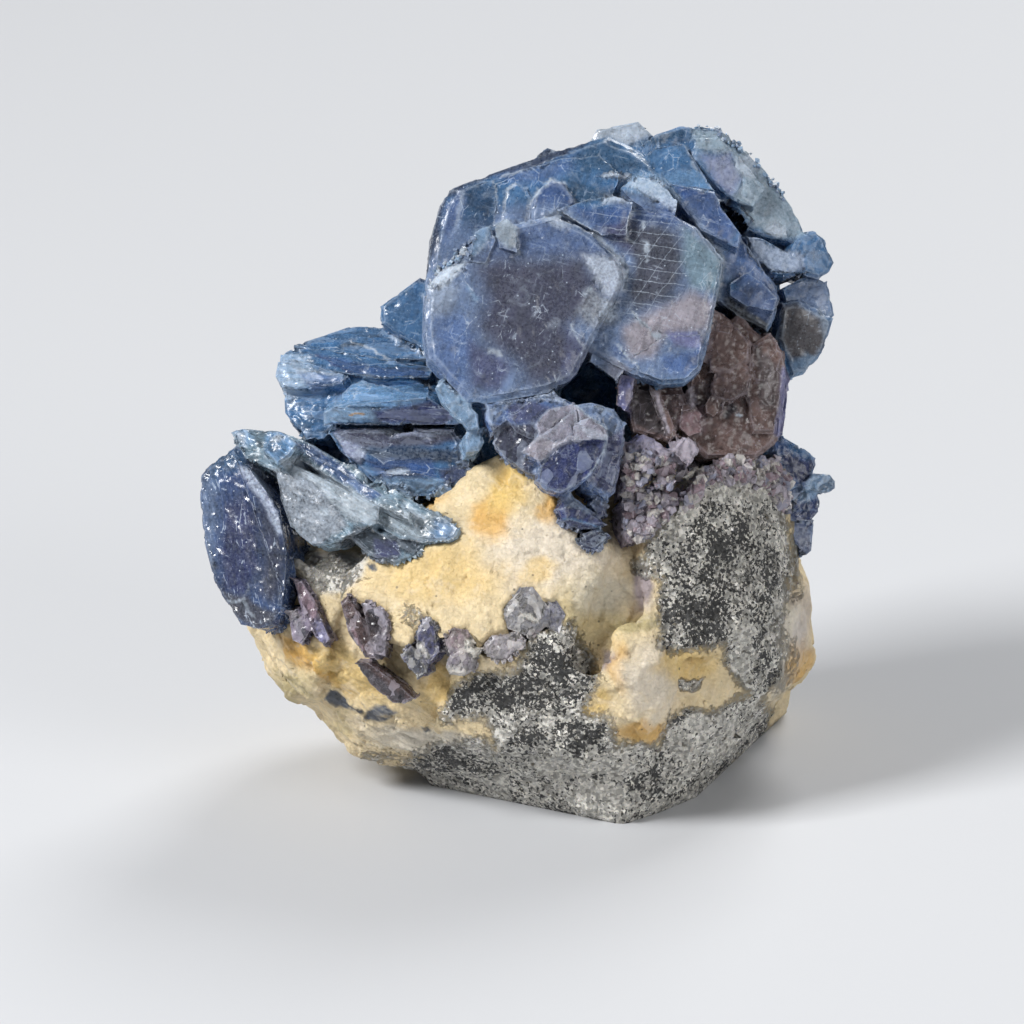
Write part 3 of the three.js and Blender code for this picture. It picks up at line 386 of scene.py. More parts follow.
def ending_at(until: float, *marks: Mark) -> tuple[Mark, ...]:
    """Some marks, none of which reaches deeper than a given depth.

    Args:
        until: That depth, in millimetres away from the viewer.
        marks: The marks.

    Returns:
        The same marks, ending there.
    """
    return tuple(replace(mark, until=until) for mark in marks)


def behind(beyond: float, *marks: Mark) -> tuple[Mark, ...]:
    """Some marks that lie on the far side only.

    Args:
        beyond: The depth at which they start, in millimetres away from the viewer.
        marks: The marks.

    Returns:
        The same marks, from there to the back.
    """
    return tuple(replace(mark, until=2 * FAR, beyond=beyond) for mark in marks)


def from_course(places: np.ndarray, course: np.ndarray) -> np.ndarray:
    """How far places are from a run of straight lines, as seen from the good side.

    Args:
        places: Places in the good side's frame, N by 3.
        course: The corners of the run, x and h.

    Returns:
        Millimetres, one number per place.
    """
    seen = places[:, (0, 2)]
    nearest = np.full(len(places), np.inf)
    for start, end in zip(course[:-1], course[1:]):
        way = end - start
        share = np.clip((seen - start) @ way / max(way @ way, 1e-9), 0, 1)
        gap = seen - start - share[:, None] * way
        nearest = np.minimum(nearest, np.hypot(gap[:, 0], gap[:, 1]))
    return nearest


def near_course(places: np.ndarray, course: np.ndarray, margin: float) -> np.ndarray:
    """Which places lie in the box round a run of straight lines, or close to it.

    Args:
        places: Places in the good side's frame, N by 3.
        course: The corners of the run, x and h.
        margin: How far beyond the box a place may lie.

    Returns:
        The numbers of those places.
    """
    low, high = course.min(axis=0) - margin, course.max(axis=0) + margin
    x, h = places[:, 0], places[:, 2]
    return np.flatnonzero((x > low[0]) & (x < high[0]) & (h > low[1]) & (h < high[1]))


def away_from(places: np.ndarray, course: np.ndarray, until: float, beyond: float) -> np.ndarray:
    """How far places are from a run of straight lines, if their depth is in a range.

    Args:
        places: Places in the good side's frame, N by 3.
        course: The corners of the run, x and h.
        until: The depth at which the range ends.
        beyond: The depth at which it starts.

    Returns:
        Millimetres, one number per place.
    """
    away = np.full(len(places), FAR)
    around = near_course(places, course, 1.0)
    around = around[(places[around, 1] < until + 0.5) & (places[around, 1] > beyond - 0.5)]
    away[around] = from_course(places[around], course)
    return away


@dataclass
class Paint:
    """What is painted on a surface."""

    colour: np.ndarray
    line: np.ndarray
    frost: np.ndarray
    height: np.ndarray

    @classmethod
    def of(cls, places: np.ndarray, ground: Tone, marks: Iterable[Mark], wander: float) -> "Paint":
        """Paints marks one over the other.

        Args:
            places: Places in the good side's frame, N by 3.
            ground: The colour under the marks.
            marks: The marks, the lowest first.
            wander: How far the washes' borders stray, in millimetres.

        Returns:
            What is painted at each place.
        """
        far = np.stack([Noise.rough(places, 3.2, seed) for seed in (21, 22, 23)], axis=1)
        near = np.stack([Noise.lumps(places, 0.8, seed) for seed in (24, 25, 26)], axis=1)
        strayed = places + far * wander
        ragged = places + near * 0.14 + far * 0.25
        paint = cls(
            np.tile(np.array(ground.linear), (len(places), 1)),
            np.zeros(len(places)), np.zeros(len(places)), np.zeros(len(places)),
        )
        for mark in marks:
            paint._add(mark, strayed if isinstance(mark, Wash) else ragged)
        return paint

    def _add(self, mark: Mark, places: np.ndarray) -> None:
        """Paints one mark over what is there.

        Args:
            mark: The mark.
            places: The places, as the mark takes them.
        """
        cover = mark.cover(places)
        self.colour += (np.array(mark.tone.linear) - self.colour) * cover[:, None]
        self.height += mark.raised * smooth_step(cover, 0.2, 0.8)
        if mark.frost:
            self.frost = np.maximum(self.frost, mark.frost * cover)
        if mark.edge:
            line = 1 - smooth_step(mark.border(places), 0.08, 0.3)
            self.line = np.maximum(self.line * (1 - cover), line * mark.edge)


class Neighbours:
    """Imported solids, as they are felt from a surface or seen from the good side."""

    def __init__(self, names: Iterable[str]) -> None:
        """Gathers the solids.

        Args:
            names: The CAD nodes that count.
        """
        corners: list[Vector] = []
        faces: list[tuple[int, ...]] = []
        turn = to_good_side()
        for name in names:
            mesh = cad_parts[name].data
            first = len(corners)
            corners.extend(turn @ vertex.co for vertex in mesh.vertices)
            faces.extend(tuple(first + i for i in face.vertices) for face in mesh.polygons)
        self.tree = BVHTree.FromPolygons(corners, faces) if faces else None

    def near(self, place: Vector, within: float) -> tuple[Vector, Vector] | None:
        """The nearest spot on a neighbour.

        Args:
            place: A place in the good side's frame.
            within: How far to look.

        Returns:
            The spot and the neighbour's normal there, or None.
        """
        if self.tree is None:
            return None
        spot, normal, _, _ = self.tree.find_nearest(place, within)
        return None if spot is None else (spot, normal)

    def seen_at(self, x: float, h: float) -> tuple[Vector, Vector] | None:
        """What the viewer sees at some spot of the good side.

        Args:
            x: Millimetres to the right.
            h: Millimetres up.

        Returns:
            The place and the normal there, or None.
        """
        spot, normal, _, _ = self.tree.ray_cast(Vector((x, -200.0, h)), Vector((0.0, 1.0, 0.0)))
        return None if spot is None else (spot, normal)


class Skin:
    """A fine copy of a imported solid, worked on in the good side's frame."""

    MOST_PASSES = 18
    LONGEST_BURIED = 2.4
    LONGEST_WORN = 2.2
    UNWORN_FOOT = 0.15

    def __init__(self, node: str, allowed: Callable[[np.ndarray], np.ndarray], rounds: int) -> None:
        """Copies the node and divides its faces.

        Args:
            node: The CAD node.
            allowed: The longest edge that may stay, for the middles of edges, N by 3.
            rounds: How much the sharp edges are worn off first.
        """
        self.node = node
        self.others = Neighbours(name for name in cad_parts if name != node)
        self.work = bmesh.new()
        self.work.from_mesh(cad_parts[node].data)
        bmesh.ops.transform(self.work, matrix=to_good_side(), verts=self.work.verts)
        bmesh.ops.remove_doubles(self.work, verts=self.work.verts, dist=0.002)
        bmesh.ops.dissolve_limit(
            self.work, angle_limit=math.radians(1), verts=self.work.verts, edges=self.work.edges
        )
        bmesh.ops.triangulate(self.work, faces=self.work.faces)
        if rounds:
            self._divide(lambda middles: np.full(len(middles), self.LONGEST_WORN))
            self._wear(rounds)
        self._divide(allowed)
        if rounds:
            self._wear(3)
        else:
            self._relax()
        self._measure()

    def _divide(self, allowed: Callable[[np.ndarray], np.ndarray]) -> None:
        """Splits long edges until none is left. Edges that no one sees may stay longer.

        Args:
            allowed: The longest edge that may stay, for the middles of edges, N by 3.
        """
        settled = self.work.edges.layers.int.new("settled")
        for _ in range(self.MOST_PASSES):
            edges = [edge for edge in self.work.edges if not edge[settled]]
            if not edges:
                break
            ends = np.array([(*edge.verts[0].co, *edge.verts[1].co) for edge in edges])
            middles = (ends[:, :3] + ends[:, 3:]) / 2
            lengths = np.linalg.norm(ends[:, :3] - ends[:, 3:], axis=1)
            picked = []
            for edge, middle, length, limit in zip(edges, middles, lengths, allowed(middles)):
                if length <= limit:
                    edge[settled] = 1
                elif length > self.LONGEST_BURIED or not self.others.near(Vector(middle), BURIED_GAP):
                    picked.append(edge)
                else:
                    edge[settled] = 1
            if not picked:
                break
            bmesh.ops.subdivide_edges(self.work, edges=picked, cuts=1)
            big = [face for face in self.work.faces if len(face.verts) > 3]
            bmesh.ops.triangulate(self.work, faces=big, quad_method="SHORT_EDGE")
        self.work.edges.layers.int.remove(settled)

    def _smooth(self, loose: list[bmesh.types.BMVert], rounds: int) -> None:
        """Moves points towards the middle of their neighbours.

        Args:
            loose: The points that may move.
            rounds: How often.
        """
        for _ in range(rounds):
            bmesh.ops.smooth_vert(
                self.work, verts=loose, factor=0.5, use_axis_x=True, use_axis_y=True, use_axis_z=True
            )

    def _wear(self, rounds: int) -> None:
        """Rounds the surface where it is free, but leaves the flat that it rests on.

        Args:
            rounds: How much.
        """
        loose = []
        for vert in self.work.verts:
            standing = height_above_ground(vert.co)
            if standing > self.UNWORN_FOOT and not self.others.near(vert.co, BURIED_GAP):
                loose.append(vert)
        self._smooth(loose, rounds)

    def _relax(self) -> None:
        """Evens out the triangles inside each flat face."""
        creased = set()
        for edge in self.work.edges:
            if abs(edge.calc_face_angle_signed(0.0)) > FLAT_ANGLE:
                creased.update(edge.verts)
        self._smooth([vert for vert in self.work.verts if vert not in creased], 3)

    def _measure(self) -> None:
        """Takes the points, their normals, and how far they are from sharp edges and neighbours."""
        self.work.normal_update()
        self.places = np.array([vert.co for vert in self.work.verts])
        self.normals = np.array([vert.normal for vert in self.work.verts])
        self.free = np.array(
            [0.0 if self.others.near(vert.co, BURIED_GAP) else 1.0 for vert in self.work.verts]
        )
        sharp = set()
        for edge in self.work.edges:
            if edge.calc_face_angle_signed(0.0) > CREASE_ANGLE:
                sharp.update(edge.verts)
        self.from_edge = self._distances(sharp)

    def _distances(self, marks: set[bmesh.types.BMVert]) -> np.ndarray:
        """How far each point is from the nearest of some marked points, in millimetres."""
        if not marks:
            return np.full(len(self.places), FAR)
        tree = KDTree(len(marks))
        for vert in marks:
            tree.insert(vert.co, vert.index)
        tree.balance()
        return np.array([tree.find(place)[2] for place in self.places])

    def raise_by(self, height: np.ndarray) -> None:
        """Moves the free points along their normals.

        Args:
            height: Millimetres outward, one number per point.
        """
        self.places = self.places + self.normals * (height * self.free)[:, None]

    def close_gap(self, elders: Neighbours) -> None:
        """Lets the surface reach a little into the pieces that it gives way to.

        Args:
            elders: Those pieces.
        """
        for i in np.flatnonzero(self.free < 0.5):
            found = elders.near(Vector(self.places[i]), BURIED_GAP)
            if found is not None:
                self.places[i] = found[0] - found[1] * OVERLAP

    def piece(self, name: str, marks: dict[str, np.ndarray], sharp: float) -> bpy.types.Object:
        """Makes the finished object, in its place in the row frame.

        Args:
            name: The object's name.
            marks: Attributes by name: one number, or red, green and blue, per point.
            sharp: The angle from which an edge is shaded sharp, in degrees.

        Returns:
            The object.
        """
        mesh = bpy.data.meshes.new(name)
        self.work.to_mesh(mesh)
        self.work.free()
        mesh.vertices.foreach_set("co", self.places.astype(np.float32).ravel())
        mesh.transform(to_good_side().inverted())
        for title, values in marks.items():
            add_mark(mesh, title, values)
        return finished(name, mesh, sharp)


def height_above_ground(place: Vector) -> float:
    """How high a place of the good side's frame is above the ground, in millimetres."""
    return place[2] * math.cos(LOOK_DOWN) - place[1] * math.sin(LOOK_DOWN) + GOOD_SIDE_ORIGIN.z


def add_mark(mesh: bpy.types.Mesh, title: str, values: np.ndarray) -> None:
    """Stores one number or one colour per point.

    Args:
        mesh: The mesh.
        title: The attribute's name.
        values: N numbers, or N by 3 for a colour.
    """
    if values.ndim == 1:
        layer = mesh.attributes.new(title, "FLOAT", "POINT")
        layer.data.foreach_set("value", values.astype(np.float32))
        return
    layer = mesh.attributes.new(title, "FLOAT_COLOR", "POINT")
    whole = np.column_stack([values, np.ones(len(values))])
    layer.data.foreach_set("color", whole.astype(np.float32).ravel())


def finished(name: str, mesh: bpy.types.Mesh, sharp: float) -> bpy.types.Object:
    """Turns a mesh into an object of the scene, smooth but for its sharp edges.

    Args:
        name: The object's name.
        mesh: The mesh.
        sharp: The angle from which an edge is shaded sharp, in degrees.

    Returns:
        The object.
    """
    mesh.shade_smooth()
    mesh.set_sharp_from_angle(angle=math.radians(sharp))
    mesh.update()
    made = bpy.data.objects.new(name, mesh)
    bpy.context.scene.collection.objects.link(made)
    return made


def declare(made: bpy.types.Object, node: str, slot: str, material: bpy.types.Material) -> None:
    """Gives a piece its material, hangs it under the root and hides the CAD node that it replaces.

    Args:
        made: The piece.
        node: The CAD node that it replaces.
        slot: Not used.
        material: Its material.
    """
    made.data.materials.append(material)
    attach(made, "root")
    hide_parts(node)
    log.info("%s: %d faces", made.name, len(made.data.polygons))


class Wire:
    """A number inside a material, on which sums can be written as usual."""

    def __init__(self, shader: "Shader", socket: bpy.types.NodeSocket) -> None:
        """Wraps an output socket.

        Args:
            shader: The material that it belongs to.
            socket: The output socket.
        """
        self.shader = shader
        self.socket = socket

    def _math(self, operation: str, first: object, second: object = 0.0) -> "Wire":
        """Adds a Math node.

        Args:
            operation: What it does.
            first: Its first value.
            second: Its second value.

        Returns:
            Its result.
        """
        node = self.shader.node("ShaderNodeMath", {"operation": operation}, {0: first, 1: second})
        return Wire(self.shader, node.outputs[0])

    def __add__(self, other: object) -> "Wire":
        """The sum."""
        return self._math("ADD", self, other)

    __radd__ = __add__

    def __sub__(self, other: object) -> "Wire":
        """The difference."""
        return self._math("SUBTRACT", self, other)

    def __rsub__(self, other: object) -> "Wire":
        """The difference, the other way round."""
        return self._math("SUBTRACT", other, self)

    def __mul__(self, other: object) -> "Wire":
        """The product."""
        return self._math("MULTIPLY", self, other)

    __rmul__ = __mul__

    def __abs__(self) -> "Wire":
        """The size without its sign."""
        return self._math("ABSOLUTE", self)

    def part(self) -> "Wire":
        """What is left after the whole number."""
        return self._math("FRACT", self)

    def most(self, other: object) -> "Wire":
        """The larger of two."""
        return self._math("MAXIMUM", self, other)

    def rise(self, low: float, high: float) -> "Wire":
        """0 at low, 1 at high, and a smooth rise between.

        Args:
            low: Where the rise starts.
            high: Where it ends.

        Returns:
            A number from 0 to 1.
        """
        node = self.shader.node(
            "ShaderNodeMapRange",
            {"interpolation_type": "SMOOTHSTEP", "clamp": True},
            {"Value": self, "From Min": low, "From Max": high},
        )
        return Wire(self.shader, node.outputs[0])


class Shader:
    """A material with one principled shader, and short ways of adding nodes to it."""

    def __init__(self, name: str) -> None:
        """Makes the material.

        Args:
            name: Its name.
        """
        self.material = bpy.data.materials.new(name)
        self.material.use_nodes = True
        self.tree = self.material.node_tree
        self.main = self.tree.nodes["Principled BSDF"]

    def node(
        self, kind: str, settings: dict[str, object] | None = None, sockets: dict | None = None
    ) -> bpy.types.Node:
        """Adds any node.

        Args:
            kind: The node's type.
            settings: Its settings, which come first.
            sockets: The values or links of its inputs, by name or number.

        Returns:
            The node.
        """
        made = self.tree.nodes.new(kind)
        for title, value in (settings or {}).items():
            setattr(made, title, value)
        for title, value in (sockets or {}).items():
            self.feed(made.inputs[title], value)
        return made

    def feed(self, socket: bpy.types.NodeSocket, value: object) -> None:
        """Links or sets an input.

        Args:
            socket: The input.
            value: A Wire, an output socket, or a plain value.
        """
        if isinstance(value, Wire):
            value = value.socket
        if isinstance(value, bpy.types.NodeSocket):
            self.tree.links.new(value, socket)
        else:
            socket.default_value = value

    def fixed(self, values: dict[str, object]) -> None:
        """Sets inputs of the principled shader that are the same all over.

        Args:
            values: The values, by the inputs' names.
        """
        for title, value in values.items():
            self.main.inputs[title].default_value = value

    def place(self) -> bpy.types.NodeSocket:
        """The place in the good side's frame, in millimetres."""
        coordinates = self.node("ShaderNodeTexCoord")
        start = Matrix.Rotation(LOOK_DOWN, 3, "X") @ -GOOD_SIDE_ORIGIN
        mapping = self.node(
            "ShaderNodeMapping",
            None,
            {
                "Vector": coordinates.outputs["Object"],
                "Location": tuple(start),
                "Rotation": (LOOK_DOWN, 0.0, 0.0),
                "Scale": (1 / MM, 1 / MM, 1 / MM),
            },
        )
        return mapping.outputs[0]

    def turned(self, place: bpy.types.NodeSocket, turn: float, squeeze: float) -> bpy.types.NodeSocket:
        """A place that is stretched along one direction of the good side.

        Args:
            place: The place.
            turn: That direction, in degrees from the right, counted upward.
            squeeze: How many times longer a pattern gets that way.

        Returns:
            The stretched place.
        """
        level = self.node(
            "ShaderNodeMapping", None, {"Vector": place, "Rotation": (0.0, math.radians(turn), 0.0)}
        )
        scaled = self.node(
            "ShaderNodeMapping", None, {"Vector": level.outputs[0], "Scale": (1 / squeeze, 1.0, 1.0)}
        )
        return scaled.outputs[0]

    def parts(self, place: bpy.types.NodeSocket) -> tuple[Wire, Wire, Wire]:
        """The three numbers of a place."""
        split = self.node("ShaderNodeSeparateXYZ", None, {0: place})
        return tuple(Wire(self, out) for out in split.outputs)

    def mark(self, title: str) -> Wire:
        """A number stored on the mesh."""
        return Wire(self, self.node("ShaderNodeAttribute", {"attribute_name": title}).outputs["Fac"])

    def colour_mark(self, title: str) -> bpy.types.NodeSocket:
        """A colour stored on the mesh."""
        return self.node("ShaderNodeAttribute", {"attribute_name": title}).outputs["Color"]

    def noise(
        self, place: bpy.types.NodeSocket, size: float, detail: float = 3.0, bend: float = 0.0
    ) -> Wire:
        """Cloudy noise.

        Args:
            place: Where it is read.
            size: How far apart its clouds lie, in millimetres.
            detail: How many finer layers it has.
            bend: How much it is distorted.

        Returns:
            A number round 0.5.
        """
        node = self.node(
            "ShaderNodeTexNoise",
            None,
            {"Vector": place, "Scale": 1 / size, "Detail": detail, "Roughness": 0.6, "Distortion": bend},
        )
        return Wire(self, node.outputs["Fac"])

    def cells(self, place: bpy.types.NodeSocket, size: float) -> tuple[Wire, Wire]:
        """Irregular cells.

        Args:
            place: Where they are read.
            size: How wide a cell is, in millimetres.

        Returns:
            How far a place is from its cell's middle, as a share of the size, and a number that
            is different for each cell.
        """
        node = self.node("ShaderNodeTexVoronoi", {"feature": "F1"}, {"Vector": place, "Scale": 1 / size})
        return Wire(self, node.outputs["Distance"]), Wire(self, node.outputs["Color"])

    def cracks(self, place: bpy.types.NodeSocket, size: float, width: float) -> Wire:
        """Thin straight lines round irregular cells.

        Args:
            place: Where they are read.
            size: How wide a cell is, in millimetres.
            width: How wide a line is, as a share of the cell.

        Returns:
            1 on a line and 0 between.
        """
        node = self.node(
            "ShaderNodeTexVoronoi", {"feature": "DISTANCE_TO_EDGE"}, {"Vector": place, "Scale": 1 / size}
        )
        return 1 - Wire(self, node.outputs["Distance"]).rise(0.0, width)

    def facets(self, place: bpy.types.NodeSocket, size: float) -> Wire:
        """The relief of small tilted faces, each flat.

        Args:
            place: Where it is read.
            size: How wide a face is, in millimetres.

        Returns:
            A height round 0.
        """
        cell = self.node("ShaderNodeTexVoronoi", {"feature": "F1"}, {"Vector": place, "Scale": 1 / size})
        scaled = self.node("ShaderNodeVectorMath", {"operation": "SCALE"}, {0: place, "Scale": 1 / size})
        offset = self.node(
            "ShaderNodeVectorMath",
            {"operation": "SUBTRACT"},
            {0: scaled.outputs[0], 1: cell.outputs["Position"]},
        )
        lean = self.node(
            "ShaderNodeVectorMath",
            {"operation": "SUBTRACT"},
            {0: cell.outputs["Color"], 1: (0.5, 0.5, 0.5)},
        )
        height = self.node(
            "ShaderNodeVectorMath",
            {"operation": "DOT_PRODUCT"},
            {0: offset.outputs[0], 1: lean.outputs[0]},
        )
        return Wire(self, height.outputs["Value"])

    def mix(self, share: object, first: object, second: object) -> bpy.types.NodeSocket:
        """Mixes two colours.

        Args:
            share: How much of the second one there is.
            first: A colour socket or value.
            second: A colour socket or value.

        Returns:
            The mixed colour.
        """
        node = self.node("ShaderNodeMix", {"data_type": "RGBA"}, {0: share, 6: first, 7: second})
        return node.outputs[2]

    def scaled(self, colour: object, amount: object) -> bpy.types.NodeSocket:
        """A colour made lighter or darker."""
        node = self.node("ShaderNodeVectorMath", {"operation": "SCALE"}, {0: colour, "Scale": amount})
        return node.outputs[0]

    def relief(self, height: Wire, depth: float) -> None:
        """Gives the surface a fine relief.

        Args:
            height: The height.
            depth: How many millimetres a height of 1 is.
        """
        bump = self.node("ShaderNodeBump", None, {"Height": height, "Distance": depth * MM})
        self.feed(self.main.inputs["Normal"], bump.outputs[0])


@dataclass(frozen=True)
class CrystalFinish:
    """Milky, see-through corundum with white cracks, pale rims that are partly painted light, and painted
    glints.
    """

    name: str
    slot: str
    pale: Tone = Tone.ICE
    see_through: float = 0.16
    roughness: float = 0.2
    gleam: float = 0.0
    veils: float = 0.38
    rim: float = 0.34
    block: float = 1.7
    patchy: float = 0.14
    depth: float = 0.16
    grain_turn: float = 70.0
    grain_squeeze: float = 1.6
    streak: float = 0.4
    cross_turn: float = -16.0
    relief: float = 0.055

    def material(self) -> bpy.types.Material:
        """Builds the material."""
        shader = Shader(self.name)
        place = shader.place()
        grain = shader.turned(place, self.grain_turn, self.grain_squeeze)
        thread = shader.turned(place, self.grain_turn, 9.0)
        frost = shader.mark("frost")
        rim = shader.mark("rim")
        cloud = shader.noise(place, 2.6, 5.0, 0.5)
        fine = shader.noise(place, 0.35, 4.0)
        streaks = shader.noise(thread, 0.4, 3.0)
        _, block = shader.cells(grain, self.block)
        _, small_block = shader.cells(grain, self.block * 0.4)

        across = shader.noise(shader.turned(place, self.cross_turn, 14.0), 0.3, 2.0)
        shade = self.depth + 0.9 * cloud + self.patchy * (block - 0.5) + self.streak * (streaks - 0.5)
        shade = shade + 0.3 * (fine - 0.5) + self.patchy * (small_block - 0.5) + 0.3 * (across - 0.5)
        base = shader.scaled(shader.colour_mark("tint"), shade)
        # Painted glints: some blocks are mixed towards the pale colour, as if their faces caught the light.
        gleam = (block + 0.25 * (fine - 0.5)).rise(0.66, 0.72) * self.gleam
        base = shader.mix(gleam, base, self.pale.rgba)
        threads = (streaks.rise(0.6, 0.7) * self.streak).most(across.rise(0.62, 0.7) * 0.4)
        white = self._white(shader, place, grain, cloud, fine, threads)
        base = shader.mix(white, base, self.pale.rgba)
        shader.feed(shader.main.inputs["Base Color"], base)
        rough = self.roughness + 0.3 * frost + 0.4 * (fine - 0.4) + 0.2 * (block - 0.5) + 0.1 * rim
        shader.feed(shader.main.inputs["Roughness"], rough)

        height = shader.facets(grain, self.block * 0.3) * (0.1 + 1.2 * frost)
        height = height + shader.facets(grain, self.block) * 0.8
        height = height + (fine - 0.5) * (0.15 + 0.7 * frost) + (streaks - 0.5) * self.streak * 0.4
        shader.relief(height, self.relief)
        shader.fixed({
            "IOR": 1.77,
            "Transmission Weight": self.see_through,
            "Subsurface Weight": 0.25,
            "Subsurface Radius": (0.6, 0.8, 1.0),
            "Subsurface Scale": 0.7 * MM,
            "Coat Weight": 0.16,
            "Coat Roughness": 0.1,
            "Specular IOR Level": 0.12,
        })
        return shader.material

    def _white(
        self, shader: Shader, place: bpy.types.NodeSocket, grain: bpy.types.NodeSocket, cloud: Wire,
        fine: Wire, threads: Wire,
    ) -> Wire:
        """Where the crystal is white: cracks, veils, rims (partly frost, partly painted light), frost,
        painted glints and parting lines.

        Args:
            shader: The material.
            place: The place in the good side's frame.
            grain: The place as the crystal's blocks take it.
            cloud: Wide noise.
            fine: Fine noise.
            threads: Thin lines along the crystal's grain and across it.

        Returns:
            From 0 to 1.
        """
        broken = (cloud + 0.3 * (fine - 0.5)).rise(0.5, 0.62)
        cracks = shader.cracks(grain, self.block, 0.035) * broken * (1 - shader.mark("parting"))
        veil = shader.noise(place, 4.2, 5.0, 1.4).rise(0.5, 0.8) * (0.2 + 1.4 * fine)
        # Painted glints: small white dots where light would sparkle on the crystal.
        away, chosen = shader.cells(place, 0.8)
        painted_glints = (1 - away.rise(0.06, 0.16)) * chosen.rise(0.66, 0.68)
        white = (cracks * 0.6).most(veil * self.veils).most(threads * cloud.rise(0.35, 0.65))
        # The rim is partly frost and partly painted light: the thin edges are drawn pale as if lit through.
        white = white.most(shader.mark("rim") * (self.rim * (2.6 * fine - 0.5)))
        white = white.most(shader.mark("frost") * (fine * 2.2 - 0.45))
        white = white.most(painted_glints * 0.8)
        return white.most(self._parting(shader, place) * shader.mark("parting") * (fine * 1.6 - 0.2))

    def _parting(self, shader: Shader, place: bpy.types.NodeSocket) -> Wire:
        """Two crossing sets of thin white parting lines.

        Args:
            shader: The material.
            place: The place in the good side's frame.

        Returns:
            1 on a line and 0 between.
        """
        x, _, h = shader.parts(place)
        wobble = shader.noise(place, 4.0, 4.0) * 1.1
        level = ((h + x * 0.13 + wobble) * (1 / 1.5)).part()
        slanted = ((x * 0.8 - h * 0.6 + wobble) * (1 / 2.1)).part()
        level_line = 1 - abs(level - 0.5).rise(0.0, 0.06)
        slanted_line = 1 - abs(slanted - 0.5).rise(0.0, 0.045)
        return (level_line * 0.75).most(slanted_line * 0.55)


@dataclass(frozen=True)
class RockFinish:
    """Cream feldspar that passes into grey gneiss with black and white grains."""

    name: str = "matrix_stone"
    slot: str = "matrix_stone"

    def material(self) -> bpy.types.Material:
        """Builds the material."""
        shader = Shader(self.name)
        place = shader.place()
        gneiss = shader.mark("gneiss")
        cloud = shader.noise(place, 3.2, 5.0, 0.3)
        fine = shader.noise(place, 0.5, 4.0)
        _, grain = shader.cells(place, 0.42)
        edge = gneiss + (fine - 0.5) * 0.9 + (cloud - 0.5) * 0.9 + (grain - 0.5) * 0.3
        mask = edge.rise(0.3, 0.85)

        feldspar = self._feldspar(shader, place, cloud, fine)
        base = shader.mix(mask, feldspar, self._pale(shader, cloud, grain))
        flecks = self._flecks(shader, place, grain) + 0.6 * (edge.rise(0.2, 0.95) - 1)
        base = shader.mix(flecks.rise(0.55, 0.585) * 0.94, base, Tone.STONE_DARK.rgba)
        shader.feed(shader.main.inputs["Base Color"], base)
        rough = 0.62 - grain.rise(0.62, 0.66) * mask * 0.35 + 0.2 * (fine - 0.5)
        shader.feed(shader.main.inputs["Roughness"], rough)

        grains = shader.facets(place, 0.45) * (0.5 + 1.5 * mask) + (fine - 0.5) * (0.6 + 0.5 * mask)
        shader.relief(grains + shader.facets(place, 1.3) * 0.9, 0.3)
        shader.fixed({
            "Subsurface Weight": 0.15,
            "Subsurface Radius": (1.0, 0.8, 0.5),
            "Subsurface Scale": 0.5 * MM,
        })
        return shader.material

    def _feldspar(
        self, shader: Shader, place: bpy.types.NodeSocket, cloud: Wire, fine: Wire
    ) -> bpy.types.NodeSocket:
        """The feldspar's colour.

        Args:
            shader: The material.
            place: The place in the good side's frame.
            cloud: Wide noise.
            fine: Fine noise.

        Returns:
            The colour.
        """
        bands = shader.mark("bands")
        layer = shader.noise(shader.turned(place, -30.0, 7.0), 0.9, 4.0)
        shade = 0.62 + 0.5 * cloud + 0.45 * (fine - 0.5) + bands * 1.1 * (layer - 0.5)
        colour = shader.scaled(shader.colour_mark("tint"), shade)
        stain = shader.noise(place, 2.4, 6.0, 0.4).rise(0.56, 0.76)
        colour = shader.mix(stain * 0.3, colour, Tone.AMBER.rgba)
        milk = shader.noise(place, 2.7, 5.0, 0.8).rise(0.5, 0.72)
        colour = shader.mix(milk * 0.35, colour, Tone.WHITE_CREAM.rgba)
        colour = shader.mix(bands * layer.rise(0.56, 0.66) * 0.45, colour, Tone.STONE_GREY.rgba)
        away, chosen = shader.cells(place, 1.4)
        dots = (1 - away.rise(0.08, 0.16)) * chosen.rise(0.7, 0.72)
        return shader.mix(dots * 0.6, colour, Tone.STONE_DARK.rgba)

    def _pale(self, shader: Shader, cloud: Wire, grain: Wire) -> bpy.types.NodeSocket:
        """The colour of the gneiss's pale grains.

        Args:
            shader: The material.
            cloud: Wide noise.
            grain: A number that is different for each grain.

        Returns:
            The colour.
        """
        pale = shader.mix(grain.rise(0.2, 0.8), Tone.STONE_GREY.rgba, Tone.STONE_WHITE.rgba)
        return shader.scaled(pale, 0.4 + 1.3 * cloud)

    def _flecks(self, shader: Shader, place: bpy.types.NodeSocket, grain: Wire) -> Wire:
        """How black the gneiss is: flecks in clusters.

        Args:
            shader: The material.
            place: The place in the good side's frame.
            grain: A number that is different for each grain.

        Returns:
            A number that is high in a fleck.
        """
        cluster = shader.noise(place, 1.9, 3.0)
        wide = shader.noise(place, 5.0, 3.0)
        flecks = shader.noise(place, 0.42, 2.0) + 0.55 * (cluster - 0.5) + 0.5 * (wide - 0.5)
        return flecks + 0.28 * (shader.mark("pepper") - 0.5) + 0.12 * (grain - 0.5)


